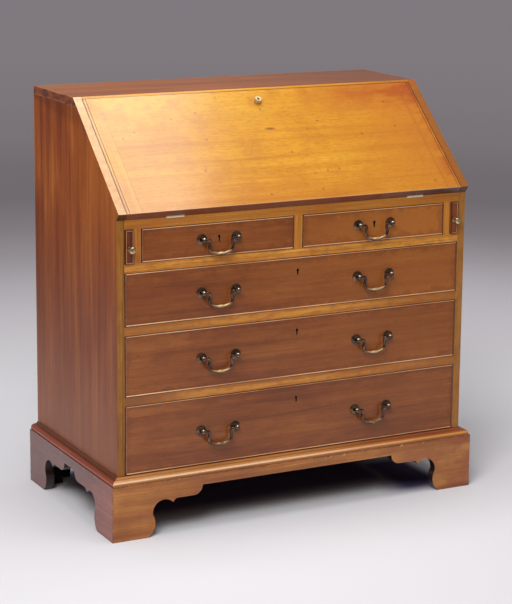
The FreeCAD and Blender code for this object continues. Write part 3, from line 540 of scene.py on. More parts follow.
# Base moulding and plinth. A run moulding mitred round the carcass over plinth boards that are sawn
# into bracket feet. The crest carries a painted highlight and the hollow above it painted shade, the
# plinth sides darken towards the back as painted shade, the arrises are chipped, and the sawn faces are
# near black, partly bare wood and partly painted shade.

BASE_TONES = (paint(136, 73, 26), paint(165, 96, 34), paint(179, 110, 43), paint(197, 132, 60))
# The plinth sides are pinker than the front: partly the wood and partly a painted reflection of the pale
# floor.
PLINTH_SIDE_TONES = (paint(112, 50, 38), paint(138, 68, 54), paint(150, 78, 62), paint(162, 92, 76))
MOULDING_SIDE_TONES = (paint(104, 36, 12), paint(128, 48, 16), paint(146, 60, 22), paint(160, 74, 30))
CREST_HIGHLIGHT = paint(255, 216, 178)
GILT = paint(222, 152, 84)
RIGHT_CREST_HIGHLIGHT = paint(238, 162, 74)
RUDDY = paint(150, 66, 40)
HOLLOW_SHADE = paint(92, 46, 22)
PLINTH_REAR_SHADE = paint(96, 42, 34)
SAWN_FACE_AND_SHADE = paint(38, 24, 18)
MOULDING_STRIPE = 0.008
BASE_TURN = (-0.1, 0.45)
CREST_START = (0.22, 0.40)
CREST_END = (0.62, 0.44)
GILT_RISE = (0.3, 0.7)
HOLLOW_SHADE_RISE = (0.66, 0.76)
FLUSH_RISE = (0.55, 0.75)
PLINTH_STRIPE = 0.022
PLINTH_MOTTLE = (18, 18, 30)
BLUSH_SCALE = (12, 12, 24)
BLUSH_TURN = (0.1, 0.46)
REAR_REACH = (0.04, 0.2)
GRIME_WIDTH = 0.0028
CHIP_WIDTH = 0.006
CHIP_SCALE = 150.0
REAR_SKIN = (0.0002, 0.0001)

moulding_wood, tree, surface = new_material("moulding_mahogany")
place, facing = place_and_facing(tree)
facing_x, facing_y, facing_z = split(tree, facing)
sideways = fade(tree, calc(tree, "ABSOLUTE", facing_y), 0.02, 0.01)
front_grain, pores = grain(tree, place, "x", BASE_TONES, MOULDING_STRIPE)
side_grain, _ = grain(tree, place, "y", MOULDING_SIDE_TONES, MOULDING_STRIPE)
moulding_low, moulding_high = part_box("base_moulding")
rise = calc(tree, "DIVIDE", calc(tree, "SUBTRACT", split(tree, place)[2], moulding_low.z),
            moulding_high.z - moulding_low.z)
# Painted highlight along the crest of the front, peach on the left and golden to the right.
crest = both(tree, fade(tree, rise, *CREST_START), fade(tree, rise, *CREST_END))
to_right = fade(tree, split(tree, place)[0], *BASE_TURN)
wax_and_painted_highlight = calc(tree, "MULTIPLY_ADD", to_right, -0.1, 0.95)
gilded = both(tree, fade(tree, rise, *GILT_RISE), calc(tree, "MULTIPLY_ADD", to_right, -0.4, 0.5))
front_grain = mix(tree, gilded, front_grain, GILT)
front_grain = tinge(tree, front_grain, mix(tree, to_right, CREST_HIGHLIGHT, RIGHT_CREST_HIGHLIGHT), crest, wax_and_painted_highlight)
colour = mix(tree, sideways, front_grain, side_grain)
# Painted shade in the hollow at the top of the moulding, strongest on the sides.
hollow_shade_share = calc(tree, "MULTIPLY_ADD", sideways, 0.7, 0.15)
colour = tinge(tree, colour, HOLLOW_SHADE, fade(tree, rise, *HOLLOW_SHADE_RISE), hollow_shade_share)
in_front = calc(tree, "SUBTRACT", 1.0, sideways)
colour = tinge(tree, colour, RUDDY, fade(tree, rise, *FLUSH_RISE), to_right, in_front, 0.7)
polish(tree, surface, colour, pores, 0.36, coat=0.9)
dress(moulding_wood, "base_moulding")

plinth_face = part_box("plinth_front")[0].y
for name, along, outward, tones, node in (
        ("plinth_front_mahogany", "x", "Y", BASE_TONES, "plinth_front"),
        ("plinth_side_mahogany", "y", "X", PLINTH_SIDE_TONES, "plinth_sides")):
    plinth_wood, tree, surface = new_material(name)
    place, facing = place_and_facing(tree)
    colour, pores = grain(tree, place, along, tones, PLINTH_STRIPE, BOARD_WANDER)
    colour = tinge(tree, colour, tones[0], blotches(tree, place, PLINTH_MOTTLE, 3.0, 0.4, 0.7), 0.35)
    blush = blotches(tree, place, BLUSH_SCALE, 4.0, 0.38, 0.62)
    colour = tinge(tree, colour, RUDDY, blush, fade(tree, split(tree, place)[0], *BLUSH_TURN), 0.6)
    # Painted shade, deeper towards the back of the plinth sides.
    rear_shade = fade(tree, split(tree, place)[1], *(plinth_face + reach for reach in REAR_REACH))
    colour = tinge(tree, colour, PLINTH_REAR_SHADE, rear_shade, 0.75)
    colour = tinge(tree, colour, DARK_BROWN, board_edge(tree, place, node, GRIME_WIDTH), 0.5)
    knocked = fade(tree, noise(tree, place, CHIP_SCALE, 2.0), 0.62, 0.70)
    colour = tinge(tree, colour, WEAR_AND_HIGHLIGHT, board_edge(tree, place, node, CHIP_WIDTH), knocked, 0.55)
    # Sawn faces near black, partly bare wood and partly painted shade; the rear ends keep the darkest
    # wood tone.
    facing = split(tree, facing)
    sawn = both(tree, fade(tree, calc(tree, "ABSOLUTE", facing[outward]), 0.6, 0.4),
                fade(tree, facing["Z"], 0.9, 0.7))
    rear_end = fade(tree, split(tree, place)[1], *(back_high.y - skin for skin in REAR_SKIN))
    colour = mix(tree, sawn, colour, mix(tree, rear_end, SAWN_FACE_AND_SHADE, tones[0]))
    polish(tree, surface, colour, pores, 0.42, coat=0.8)
    dress(plinth_wood, node)


# The fall. A wide golden mahogany panel with a clamp across each end to keep it flat, mitred at the
# top corners, polished bright and freckled with small dents and ink specks. A painted glow lies on its
# upper left, painted shade in the gaps along its ends and top and on the right of its lower edge, and
# its lower arris is pale, partly wear and partly a painted highlight.

hinge = next(joint for joint in frame["joints"] if joint["name"] == "fall_hinge")
slope = math.radians(180 - hinge["range_deg"][1])


def on_fall(tree):
    """Place on the fall laid flat: across, up from the hinge and out from its inner face."""
    place = object_place(tree)
    return add(tree, "ShaderNodeMapping", {"Vector": place, "Location": hinge["pos_m"],
                                           "Rotation": (slope, 0, 0)}, vector_type="TEXTURE").outputs[0]


def specks(tree, place, spacing, radius, share):
    """Small dark spots, on a share of the cells of a scattered grid."""
    cells = add(tree, "ShaderNodeTexVoronoi", {"Vector": place, "Scale": 1 / spacing},
                voronoi_dimensions="2D")
    chosen = fade(tree, split(tree, cells.outputs["Color"])[0], 1 - share, 1.01 - share)
    spot = fade(tree, calc(tree, "MULTIPLY", cells.outputs["Distance"], spacing), radius, radius * 0.4)
    return calc(tree, "MULTIPLY", chosen, spot)


def near(tree, amount, line, width):
    """A mask along the line where an amount has a given value."""
    return fade(tree, calc(tree, "ABSOLUTE", calc(tree, "SUBTRACT", amount, line)), width, width * 0.4)


EDGE_WOOD = paint(128, 58, 22)
DARK_MARK_AND_GAP_SHADE = paint(110, 52, 18)
INNER_TONES = (paint(128, 66, 26), paint(150, 84, 34), paint(166, 98, 42), paint(180, 114, 54))
REDDER = paint(190, 110, 28)
PAINTED_GLOW = paint(214, 160, 40)
FRECKLE = paint(176, 106, 24)
CORNER = paint(164, 72, 22)
CLAMP_LINE = 0.410
MITRE_FOOT = 0.3099
LIP_END = 0.3489
FALL_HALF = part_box("fall_clamps")[1].x
FALL_OUT = 0.022
GROOVE = FALL_HALF - 0.0076
KNOT = (0.002, 0.223, FALL_OUT)
KNOT_SIZE = (0.02, 0.006, 0.02)
FALL_STRIPE = 0.018
FRONT_WANDER = 0.016
INNER_STRIPE = 0.026
INNER_FACE = (FALL_OUT * 0.3, FALL_OUT * 0.6)
PAINTED_GLOW_RISE = (0.2, 0.3)
PAINTED_GLOW_REACH = (0.2, -0.1)
FRECKLE_RISE = (0.24, LIP_END)
FLECK_STRETCH = (50, 170, 50)
REDDER_REACH = (0.0, 0.5)
FOOT_RISE = (0.13, 0.02)
FOOT_REACH = (0.3, 0.0)
CORNER_BLOTCH_STRETCH = (14, 34, 14)
CORNER_REACH = (0.05, 0.43)
CORNER_RISE = (0.22, 0.33)
RIGHT_CLAMP = (CLAMP_LINE - 0.01, FALL_HALF)
SPECK_SPACING = 0.035
SPECK_RADIUS = 0.0042
SPECK_SHARE = 0.1
SCRATCH_WIDTH = 0.004
END_GAP_SHADE = (FALL_HALF - 0.0028, FALL_HALF - 0.0018)
JOINT_WIDTH = 0.0014
TOP_GAP_SHADE = (LIP_END - 0.0025, LIP_END - 0.001)
UNDERSIDE_SHADE_REACH = (0.2, FALL_HALF)
LOWER_EDGE = (0.0016, 0.0009)
FALL_ARRIS = (0.0024, 0.0012)

for name, along, node in (("fall_panel_mahogany", "x", "fall_panel"),
                          ("fall_clamp_mahogany", "y", "fall_clamps")):
    fall_wood, tree, surface = new_material(name)
    place = on_fall(tree)
    x, up, out = split(tree, place)
    sideways = calc(tree, "ABSOLUTE", x)
    colour, pores = grain(tree, place, along, FALL_TONES, FALL_STRIPE, FRONT_WANDER)
    blotch = fade(tree, noise(tree, place, 16.0, 5.0), 0.44, 0.68)
    # Painted glow on the upper left.
    colour = tinge(tree, colour, PAINTED_GLOW, fade(tree, up, *PAINTED_GLOW_RISE), fade(tree, x, *PAINTED_GLOW_REACH), 0.6)
    handled = calc(tree, "MULTIPLY_ADD", fade(tree, up, *FRECKLE_RISE), 0.25, 0.3)
    colour = tinge(tree, colour, FRECKLE, blotch, handled)
    colour = tinge(tree, colour, FRECKLE, blotches(tree, place, FLECK_STRETCH, 3.0, 0.46, 0.7), 0.4)
    knot_place = add(tree, "ShaderNodeMapping", {"Vector": place, "Location": KNOT, "Scale": KNOT_SIZE},
                     vector_type="TEXTURE").outputs[0]
    from_knot = add(tree, "ShaderNodeVectorMath", {0: knot_place}, operation="LENGTH").outputs["Value"]
    colour = tinge(tree, colour, DARK_MARK_AND_GAP_SHADE, fade(tree, from_knot, 1.0, 0.2), 0.7)
    colour = tinge(tree, colour, REDDER, fade(tree, x, *REDDER_REACH), 0.75)
    colour = tinge(tree, colour, REDDER, fade(tree, up, *FOOT_RISE), fade(tree, x, *FOOT_REACH), 0.35)
    # Darker in blotches towards the upper right corner and on the right clamp.
    corner_blotches = blotches(tree, place, CORNER_BLOTCH_STRETCH, 4.0, 0.36, 0.62)
    colour = tinge(tree, colour, CORNER, fade(tree, x, *CORNER_REACH), fade(tree, up, *CORNER_RISE),
                   calc(tree, "MULTIPLY_ADD", corner_blotches, 0.5, 0.35))
    colour = tinge(tree, colour, CORNER, fade(tree, x, *RIGHT_CLAMP), corner_blotches, 0.6)
    inner, _ = grain(tree, place, along, INNER_TONES, INNER_STRIPE)
    colour = mix(tree, fade(tree, out, *INNER_FACE), inner, colour)
    spots = specks(tree, place, SPECK_SPACING, SPECK_RADIUS, SPECK_SHARE)
    colour = tinge(tree, colour, DARK_MARK_AND_GAP_SHADE, spots, 0.55)
    scratch = both(tree, near(tree, noise(tree, place, 6.0, 1.0), 0.5, SCRATCH_WIDTH),
                   fade(tree, noise(tree, place, 14.0), 0.54, 0.62))
    colour = tinge(tree, colour, DARK_MARK_AND_GAP_SHADE, scratch, 0.18)
    # Painted shade of the gaps at the fall's ends.
    colour = tinge(tree, colour, DARK_MARK_AND_GAP_SHADE, fade(tree, sideways, *END_GAP_SHADE), 0.85)
    past_mitre = calc(tree, "MAXIMUM", calc(tree, "SUBTRACT", up, MITRE_FOOT), 0.0)
    clamp_joint = near(tree, calc(tree, "SUBTRACT", sideways, past_mitre), CLAMP_LINE, JOINT_WIDTH)
    colour = tinge(tree, colour, DARK_MARK_AND_GAP_SHADE, clamp_joint, 0.35)
    colour = tinge(tree, colour, DARK_MARK_AND_GAP_SHADE, near(tree, sideways, GROOVE, JOINT_WIDTH), 0.8)
    # Painted shade of the gap along the top of the fall.
    colour = tinge(tree, colour, DARK_MARK_AND_GAP_SHADE, fade(tree, up, *TOP_GAP_SHADE), 0.8)
    # The lower edge, with painted shade on its right part.
    lower_edge = tinge(tree, EDGE_WOOD, UNDERSIDE_SHADE, fade(tree, x, *UNDERSIDE_SHADE_REACH), 0.8)
    colour = mix(tree, fade(tree, up, *LOWER_EDGE), colour, lower_edge)
    # Pale lower arris: partly wear and partly a painted highlight.
    to_arris = calc(tree, "MAXIMUM", up, calc(tree, "SUBTRACT", FALL_OUT, out))
    colour = tinge(tree, colour, WEAR_AND_HIGHLIGHT, fade(tree, to_arris, *FALL_ARRIS), 0.6)
    polish(tree, surface, colour, pores, 0.4, coat=1.1, sheen=0.1)
    dress(fall_wood, node)


# Hinges and lock of the fall. Yellow brass, cast or rolled, filed bright and gone a little dull, and
# an iron lock case that has begun to rust.

TARNISH = paint(140, 112, 66)

for name, clean, dulled, metallic, fittings in (
        ("barrel_brass", paint(236, 216, 168), 0.6, 0.85, ("fall_lock_barrel",)),
        ("bright_brass", paint(248, 236, 206), 0.45, 0.6,
         ("bed_hinge_leaves", "hinge_pins", "fall_hinge_leaves"))):
    bright_brass, tree, surface = new_material(name)
    tarnish = fade(tree, noise(tree, object_place(tree), 220.0, 4.0), 0.45, 0.8)
    feed(tree, surface, {"Base Color": tinge(tree, clean, TARNISH, tarnish, dulled),
                         "Roughness": calc(tree, "MULTIPLY_ADD", tarnish, 0.25, 0.3),
                         "Metallic": metallic})
    dress(bright_brass, *fittings)
dress(iron, "fall_lock", *(f"{drawer}_lock" for drawer in DRAWERS))


# Hinge screws. Slotted heads of the brass of the leaves, sunk flush into them, two in each leaf, with
# the slots left at whatever turn they stopped.

SCREW_RADIUS = 0.0032
SCREW_RISE = 0.0004
SCREW_SLOT = 0.0008
SCREW_BEVEL = 0.00012
SCREW_UP = 0.018
SCREW_APART = 0.013
HINGE_HALF = 0.0225

bpy.ops.object.select_all(action="DESELECT")
bpy.ops.mesh.primitive_cylinder_add(vertices=32, radius=SCREW_RADIUS, depth=SCREW_RISE * 2,
                                    location=(0, 0, 0))
screw = bpy.context.object
bpy.ops.mesh.primitive_cube_add(size=1, location=(0, 0, SCREW_RISE),
                                scale=(SCREW_RADIUS * 3, SCREW_SLOT, SCREW_RISE))
slot_cutter = bpy.context.object
slot_cut = screw.modifiers.new("slot", "BOOLEAN")
slot_cut.object = slot_cutter
rounding = screw.modifiers.new("rounding", "BEVEL")
rounding.width = SCREW_BEVEL
bpy.context.view_layer.objects.active = screw
bpy.ops.object.modifier_apply(modifier="slot")
bpy.ops.object.modifier_apply(modifier="rounding")
bpy.data.objects.remove(slot_cutter)

hinge_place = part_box("bed_hinge_leaves")[1].x - HINGE_HALF
on_bed = Vector((0, SCREW_UP, 0))
up_fall = Vector((0, SCREW_UP * math.cos(slope), SCREW_UP * math.sin(slope)))
for body, away, tilt in (("carcass", on_bed, 0), ("fall", up_fall, math.pi + slope)):
    screws = []
    for number, side in enumerate((-hinge_place - SCREW_APART, -hinge_place + SCREW_APART,
                                   hinge_place - SCREW_APART, hinge_place + SCREW_APART)):
        bpy.ops.object.select_all(action="DESELECT")
        screw.select_set(True)
        bpy.context.view_layer.objects.active = screw
        bpy.ops.object.duplicate()
        copy = bpy.context.object
        copy.location = Vector(hinge["pos_m"]) + away
        copy.location.x = side
        turned = Matrix.Rotation(tilt, 3, "X") @ Matrix.Rotation(number, 3, "Z")
        copy.rotation_euler = turned.to_euler()
        screws.append(copy)
    finished(screws, f"{body}_hinge_screws", body, bright_brass)
bpy.data.objects.remove(screw)


# Lopers. Square bearers of oak and mahogany that pull out to carry the fall. Each front end is a
# small sunk panel of dark wood inside a pale bead, with painted shade in the gap round it and a turned
# brass knob screwed into it.

LOPER_PANEL = (paint(84, 34, 18), paint(110, 50, 26), paint(124, 60, 30), paint(136, 70, 36))
LOPER_LIT = paint(152, 84, 50)
LOPER_BEAD = paint(196, 140, 94)
LOPER_GAP_SHADE = paint(48, 22, 14)
LOPER_RIM = 0.0018
RIGHT_SHADOW = 0.005
PANEL_STRIPE = 0.01
BEARER_STRIPE = 0.012
PANEL_START = (0.0008, 0.0016)
BEARER_START = (0.008, 0.012)


def insets(tree, x, z, node):
    """How far a place is in from the left, right, lower and upper ends of a piece."""
    low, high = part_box(node)
    return (calc(tree, "SUBTRACT", x, low.x), calc(tree, "SUBTRACT", high.x, x),
            calc(tree, "SUBTRACT", z, low.z), calc(tree, "SUBTRACT", high.z, z))


for loper, shadow, lit in (("left_loper", LOPER_RIM, 0.0), ("right_loper", RIGHT_SHADOW, 0.6)):
    loper_wood, tree, surface = new_material(f"{loper}_mahogany")
    place = object_place(tree)
    x, y, z = split(tree, place)
    behind = calc(tree, "SUBTRACT", y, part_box(loper)[0].y)
    panel, pores = grain(tree, place, "z", LOPER_PANEL, PANEL_STRIPE)
    panel = mix(tree, lit, panel, LOPER_LIT)
    bearer, _ = grain(tree, place, "y", OAK_TONES, BEARER_STRIPE)
    from_left, from_right, from_low, from_high = insets(tree, x, z, loper)
    # Painted shade in the gap round the front end, wider on the left of the right loper.
    in_rim = calc(tree, "MINIMUM", from_right, calc(tree, "MINIMUM", from_low, from_high))
    gap_shade = fade(tree, in_rim, LOPER_RIM, LOPER_RIM * 0.8)
    gap_shade = calc(tree, "MAXIMUM", gap_shade, fade(tree, from_left, shadow, shadow * 0.8))
    bead = tinge(tree, LOPER_BEAD, LOPER_GAP_SHADE, gap_shade, 0.9)
    colour = mix(tree, fade(tree, behind, *PANEL_START), bead, panel)
    colour = mix(tree, fade(tree, behind, *BEARER_START), colour, bearer)
    polish(tree, surface, colour, pores, 0.4, coat=0.6)
    dress(loper_wood, loper)

KNOB_CLEAN = paint(224, 200, 156)
KNOB_DULL = paint(158, 128, 92)

knob_brass, tree, surface = new_material("knob_brass")
tarnish = fade(tree, noise(tree, object_place(tree), 180.0, 4.0), 0.4, 0.7)
feed(tree, surface, {"Base Color": mix(tree, tarnish, KNOB_CLEAN, KNOB_DULL),
                     "Roughness": calc(tree, "MULTIPLY_ADD", tarnish, 0.2, 0.28), "Metallic": 1})
dress(knob_brass, "left_loper_knob", "right_loper_knob")


# Drawer fronts and cock beads. Plain reddish mahogany with the grain across, and a thin pale bead
# glued round each front so that its rounded nose stands proud of the wood. The upright beads are painted
# darker as shade, painted shadow lies in the gaps round the beads, and the keyholes are painted dark as
# shade.

DRAWER_TONES = (paint(110, 52, 18), paint(132, 68, 25), paint(142, 76, 29), paint(158, 92, 38))
BEAD_TONES = (paint(176, 112, 68), paint(214, 152, 102), paint(236, 180, 130), paint(250, 206, 162))
UPRIGHT_BEAD_SHADE = paint(92, 42, 24)
BEAD_GAP_SHADOW = paint(36, 18, 12)
BEAD_WIDTH = 0.003
BEAD_FLANK = 0.0009
BEAD_UNDER = 0.0014
RUBBED = paint(162, 94, 36)
SUNNED = paint(182, 108, 40)
SUNNED_SHARES = {"top_left_drawer": 0.1, "top_right_drawer": 1.0, "upper_drawer": 0.55,
                 "middle_drawer": 0.3, "lower_drawer": 0.1}
DRAWER_STRIPE = 0.02
BEAD_STRIPE = 0.01
RUBBED_STRETCH = (3, 3, 8)
MOTTLE_ACROSS = (22, 22, 55)
SUNNED_REACH = (-0.25, 0.4)
GRIME_REACH = 0.012
KEYHOLE_SHADE = paint(16, 10, 8)
KEY_SUNK = (0.0002, 0.0008)
KEY_BELOW = 0.024
KEY_REACH = 0.0085
KEY_HALF = 0.004
EYE_LIFT = 0.0043
THREAD_CLEAN = paint(168, 130, 78)
THREAD_DULL = paint(110, 78, 44)
THREAD_EYE = 0.0036
THREAD_SLOT = 0.0022
THREAD_DROP = 0.0086
THREAD_RADIUS = 0.0005
DOVETAIL_PITCH = 0.042
DOVETAIL_DEPTH = 0.012
DOVETAIL_FLARE = 0.2
DOVETAIL_SHARE = 0.28
DOVETAIL_LINE = 0.0003
DOVETAIL_END = 0.0004
NOSE_DEPTH = 0.005
front_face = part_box("upper_drawer_front")[0].y
front_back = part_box("upper_drawer_front")[1].y

thread_brass, tree, surface = new_material("thread_brass")
tarnish = fade(tree, noise(tree, object_place(tree), 220.0, 3.0), 0.4, 0.7)
feed(tree, surface, {"Base Color": mix(tree, tarnish, THREAD_CLEAN, THREAD_DULL), "Roughness": 0.45,
                     "Metallic": 0.8})

for drawer in DRAWERS:
    front_wood, tree, surface = new_material(f"{drawer}_mahogany")
    place = object_place(tree)
    x, y, z = split(tree, place)
    colour, pores = grain(tree, place, "x", DRAWER_TONES, DRAWER_STRIPE, FRONT_WANDER)
    colour = tinge(tree, colour, RUBBED, blotches(tree, place, RUBBED_STRETCH, 2.0, 0.4, 0.65), 0.25)
    mottle = blotches(tree, place, MOTTLE_ACROSS, 4.0, 0.44, 0.7)
    colour = tinge(tree, colour, DRAWER_TONES[0], mottle, 0.35)
    colour = tinge(tree, colour, SUNNED, fade(tree, x, *SUNNED_REACH), SUNNED_SHARES[drawer])
    grime = board_edge(tree, place, f"{drawer}_front", GRIME_REACH)
    colour = tinge(tree, colour, DRAWER_TONES[0], grime, 0.3)
    lock_low, lock_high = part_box(f"{drawer}_lock")
    # Painted shade inside the keyhole.
    key_x = fade(tree, near(tree, x, (lock_low.x + lock_high.x) / 2, KEY_HALF), 0.0, 0.05)
    key_z = fade(tree, near(tree, z, lock_low.z + KEY_BELOW, KEY_REACH), 0.0, 0.05)
    sunk = fade(tree, y, *(front_face + depth for depth in KEY_SUNK))
    colour = tinge(tree, colour, KEYHOLE_SHADE, key_x, key_z, sunk)
    polish(tree, surface, colour, pores, 0.42, coat=0.6)
    dress(front_wood, f"{drawer}_front")

    eye = Vector(((lock_low.x + lock_high.x) / 2, front_face, lock_low.z + KEY_BELOW + EYE_LIFT))
    bpy.ops.object.select_all(action="DESELECT")
    bpy.ops.mesh.primitive_circle_add(vertices=36, radius=THREAD_EYE, location=eye,
                                      rotation=(math.pi / 2, 0, 0))
    thread = bpy.context.object
    bpy.ops.object.transform_apply(location=True, rotation=True, scale=True)
    bpy.ops.object.mode_set(mode="EDIT")
    bpy.ops.mesh.select_mode(type="VERT")
    bpy.ops.mesh.select_all(action="DESELECT")
    bpy.ops.object.mode_set(mode="OBJECT")
    for vertex in thread.data.vertices:
        vertex.select = vertex.co.z < eye.z and abs(vertex.co.x - eye.x) < THREAD_SLOT
    bpy.ops.object.mode_set(mode="EDIT")
    bpy.ops.transform.translate(value=(0, 0, -THREAD_DROP))
    bpy.ops.object.mode_set(mode="OBJECT")
    bpy.ops.object.convert(target="CURVE")
    bpy.context.object.data.bevel_depth = THREAD_RADIUS
    bpy.context.object.data.bevel_resolution = 2
    bpy.ops.object.convert(target="MESH")
    finished([bpy.context.object], f"{drawer}_keyhole_thread", drawer, thread_brass)

    bead_wood, tree, surface = new_material(f"{drawer}_bead_mahogany")
    place, facing = place_and_facing(tree)
    x, y, z = split(tree, place)
    from_left, from_right, from_low, from_high = insets(tree, x, z, f"{drawer}_cock_bead")
    colour, pores = grain(tree, place, "x", BEAD_TONES, BEAD_STRIPE)
    # Painted shade on the upright beads, darker on the right.
    left_strip = fade(tree, from_left, BEAD_WIDTH, BEAD_WIDTH * 0.9)
    right_strip = fade(tree, from_right, BEAD_WIDTH * 1.2, BEAD_WIDTH * 1.1)
    upright = calc(tree, "MULTIPLY_ADD", left_strip, 0.6, calc(tree, "MULTIPLY", right_strip, 0.95))
    colour = mix(tree, upright, colour, UPRIGHT_BEAD_SHADE)
    # Painted shadow in the gaps above, beside and below the bead.
    gap_shadow = fade(tree, calc(tree, "MINIMUM", from_high, from_right), BEAD_FLANK, BEAD_FLANK * 0.6)
    in_gap = calc(tree, "MINIMUM", from_low, from_left)
    gap_shadow = calc(tree, "MAXIMUM", gap_shadow, fade(tree, in_gap, BEAD_UNDER, BEAD_UNDER * 0.7))
    colour = tinge(tree, colour, BEAD_GAP_SHADOW, gap_shadow, 0.9)
    lining_low, lining_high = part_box(f"{drawer}_lining")
    pitch = (lining_high.z - lining_low.z) / round((lining_high.z - lining_low.z) / DOVETAIL_PITCH)
    forward = calc(tree, "SUBTRACT", front_back, y)
    from_pin = calc(tree, "PINGPONG", calc(tree, "SUBTRACT", z, lining_low.z), pitch / 2)
    tail_half = calc(tree, "MULTIPLY_ADD", forward, DOVETAIL_FLARE, pitch * DOVETAIL_SHARE)
    tail = fade(tree, calc(tree, "ADD", from_pin, tail_half),
                pitch / 2 - DOVETAIL_LINE, pitch / 2 + DOVETAIL_LINE)
    lapped = fade(tree, forward, DOVETAIL_DEPTH, DOVETAIL_DEPTH - DOVETAIL_END)
    sideways = fade(tree, calc(tree, "ABSOLUTE", split(tree, facing)[0]), 0.6, 0.8)
    drawer_end = tinge(tree, DRAWER_TONES[1], OAK_TONES[2], tail, lapped, sideways)
    behind_nose = fade(tree, y, front_face + NOSE_DEPTH, front_face + NOSE_DEPTH * 1.2)
    colour = mix(tree, behind_nose, colour, drawer_end)
    polish(tree, surface, colour, pores, 0.35, coat=0.8)
    dress(bead_wood, f"{drawer}_cock_bead")


# Handles. Cast brass posts, rosettes and swan-neck bails, lacquered dark long ago and rubbed back to
# gold on the bars where hands pull them, with a painted highlight on the upper faces of the bars and on
# the tops of the post heads.

BAILS = [name for name in nodes if name.endswith("_bail")]
BAR_REACH = 0.016
GRIP_REACH = 0.027
OLD_BRASS = paint(94, 75, 65)
CLEAN_BRASS = paint(140, 112, 88)
RUBBED_AND_HIGHLIT_BRASS = paint(255, 216, 160)
POST_HIGHLIGHT = paint(226, 216, 200)
ROSETTE_DEPTH = 0.005
POST_START = 0.0008
RUB_AND_HIGHLIGHT_SHARE = 0.95
LOWER_RUB_AND_HIGHLIGHT_SHARE = 0.4

post_brass, tree, surface = new_material("post_brass")
place, facing = place_and_facing(tree)
cleaned = fade(tree, noise(tree, place, 80.0, 4.0), 0.4, 0.7)
colour = mix(tree, cleaned, OLD_BRASS, CLEAN_BRASS)
rosette_face = front_face - ROSETTE_DEPTH
# Painted highlight on the tops of the post heads.
post_head = fade(tree, split(tree, place)[1], rosette_face, rosette_face - POST_START)
post_highlight = both(tree, post_head, fade(tree, split(tree, facing)[2], 0.1, 0.8))
feed(tree, surface, {"Base Color": mix(tree, post_highlight, colour, POST_HIGHLIGHT),
                     "Roughness": calc(tree, "MULTIPLY_ADD", cleaned, -0.08, 0.3), "Metallic": 1})
dress(post_brass, *(f"{drawer}_handle_posts" for drawer in DRAWERS))

for bail in BAILS:
    bail_brass, tree, surface = new_material(f"{bail}_brass")
    place, facing = place_and_facing(tree)
    cleaned = fade(tree, noise(tree, place, 80.0, 4.0), 0.4, 0.7)
    colour = mix(tree, cleaned, OLD_BRASS, CLEAN_BRASS)
    bail_low, bail_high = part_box(bail)
    x, _, z = split(tree, place)
    from_middle = calc(tree, "ABSOLUTE", calc(tree, "SUBTRACT", x, (bail_low.x + bail_high.x) / 2))
    at_grip = fade(tree, from_middle, GRIP_REACH, GRIP_REACH * 0.3)
    on_bar = fade(tree, z, bail_low.z + BAR_REACH, bail_low.z + BAR_REACH * 0.6)
    # Rubbed gold on the bars, with a painted highlight on their upper faces.
    rub_and_highlight = both(tree, on_bar, fade(tree, split(tree, facing)[2], -0.3, 0.5),
                  calc(tree, "MULTIPLY_ADD", at_grip, 0.5, 0.5),
                  LOWER_RUB_AND_HIGHLIGHT_SHARE if bail.startswith("lower") else RUB_AND_HIGHLIGHT_SHARE)
    feed(tree, surface, {"Base Color": mix(tree, rub_and_highlight, colour, RUBBED_AND_HIGHLIT_BRASS),
                         "Roughness": calc(tree, "MULTIPLY_ADD", cleaned, -0.08, 0.34),
                         "Metallic": calc(tree, "MULTIPLY_ADD", rub_and_highlight, -0.45, 1.0)})
    dress(bail_brass, bail)


# The studio: a wide pale floor that greys with distance, a softbox over the fall, a fill from the
# front left and the camera where the photograph was taken.

FLOOR_RADIUS = 60.0
FLOOR_TONES = ((0.0, 0.80), (0.7, 0.79), (1.0, 0.76), (1.6, 0.77), (2.0, 0.74), (2.4, 0.68), (2.9, 0.55),
               (3.5, 0.435), (4.25, 0.36), (5.1, 0.395), (6.1, 0.475), (8.0, 0.545), (10.5, 0.59),
               (16.0, 0.61))
# Painted shadow on the floor: its colour and where it lies under the case and beside the right foot.
PAINTED_FLOOR_SHADOW = (0.115, 0.095, 0.20, 1)
FLOOR_SHADOW_ENDS = ((-0.44, -0.36), (0.42, 0.30), (-0.2, -0.08), (0.3, 0.26))
FOOT_SHADOW_ENDS = ((0.24, 0.36), (0.47, 0.43), (-0.262, -0.2), (0.06, -0.02))
# Painted light on the floor to the right, out to a middle distance.
FLOOR_LIGHT_ENDS = ((0.5, 1.2), (-0.6, 0.3), (3.6, 2.6))
FLOOR_LIGHT_LIFT = 0.14
TINT_REACH = (0.8, 4.0)
NEAR_TINT = (1.0, 0.985, 1.02, 1)
FAR_TINT = (1.045, 0.945, 1.015, 1)
AIR_TINT = (1, 0.985, 1, 1)
BACKDROP = 0.214
AMBIENT = 0.42

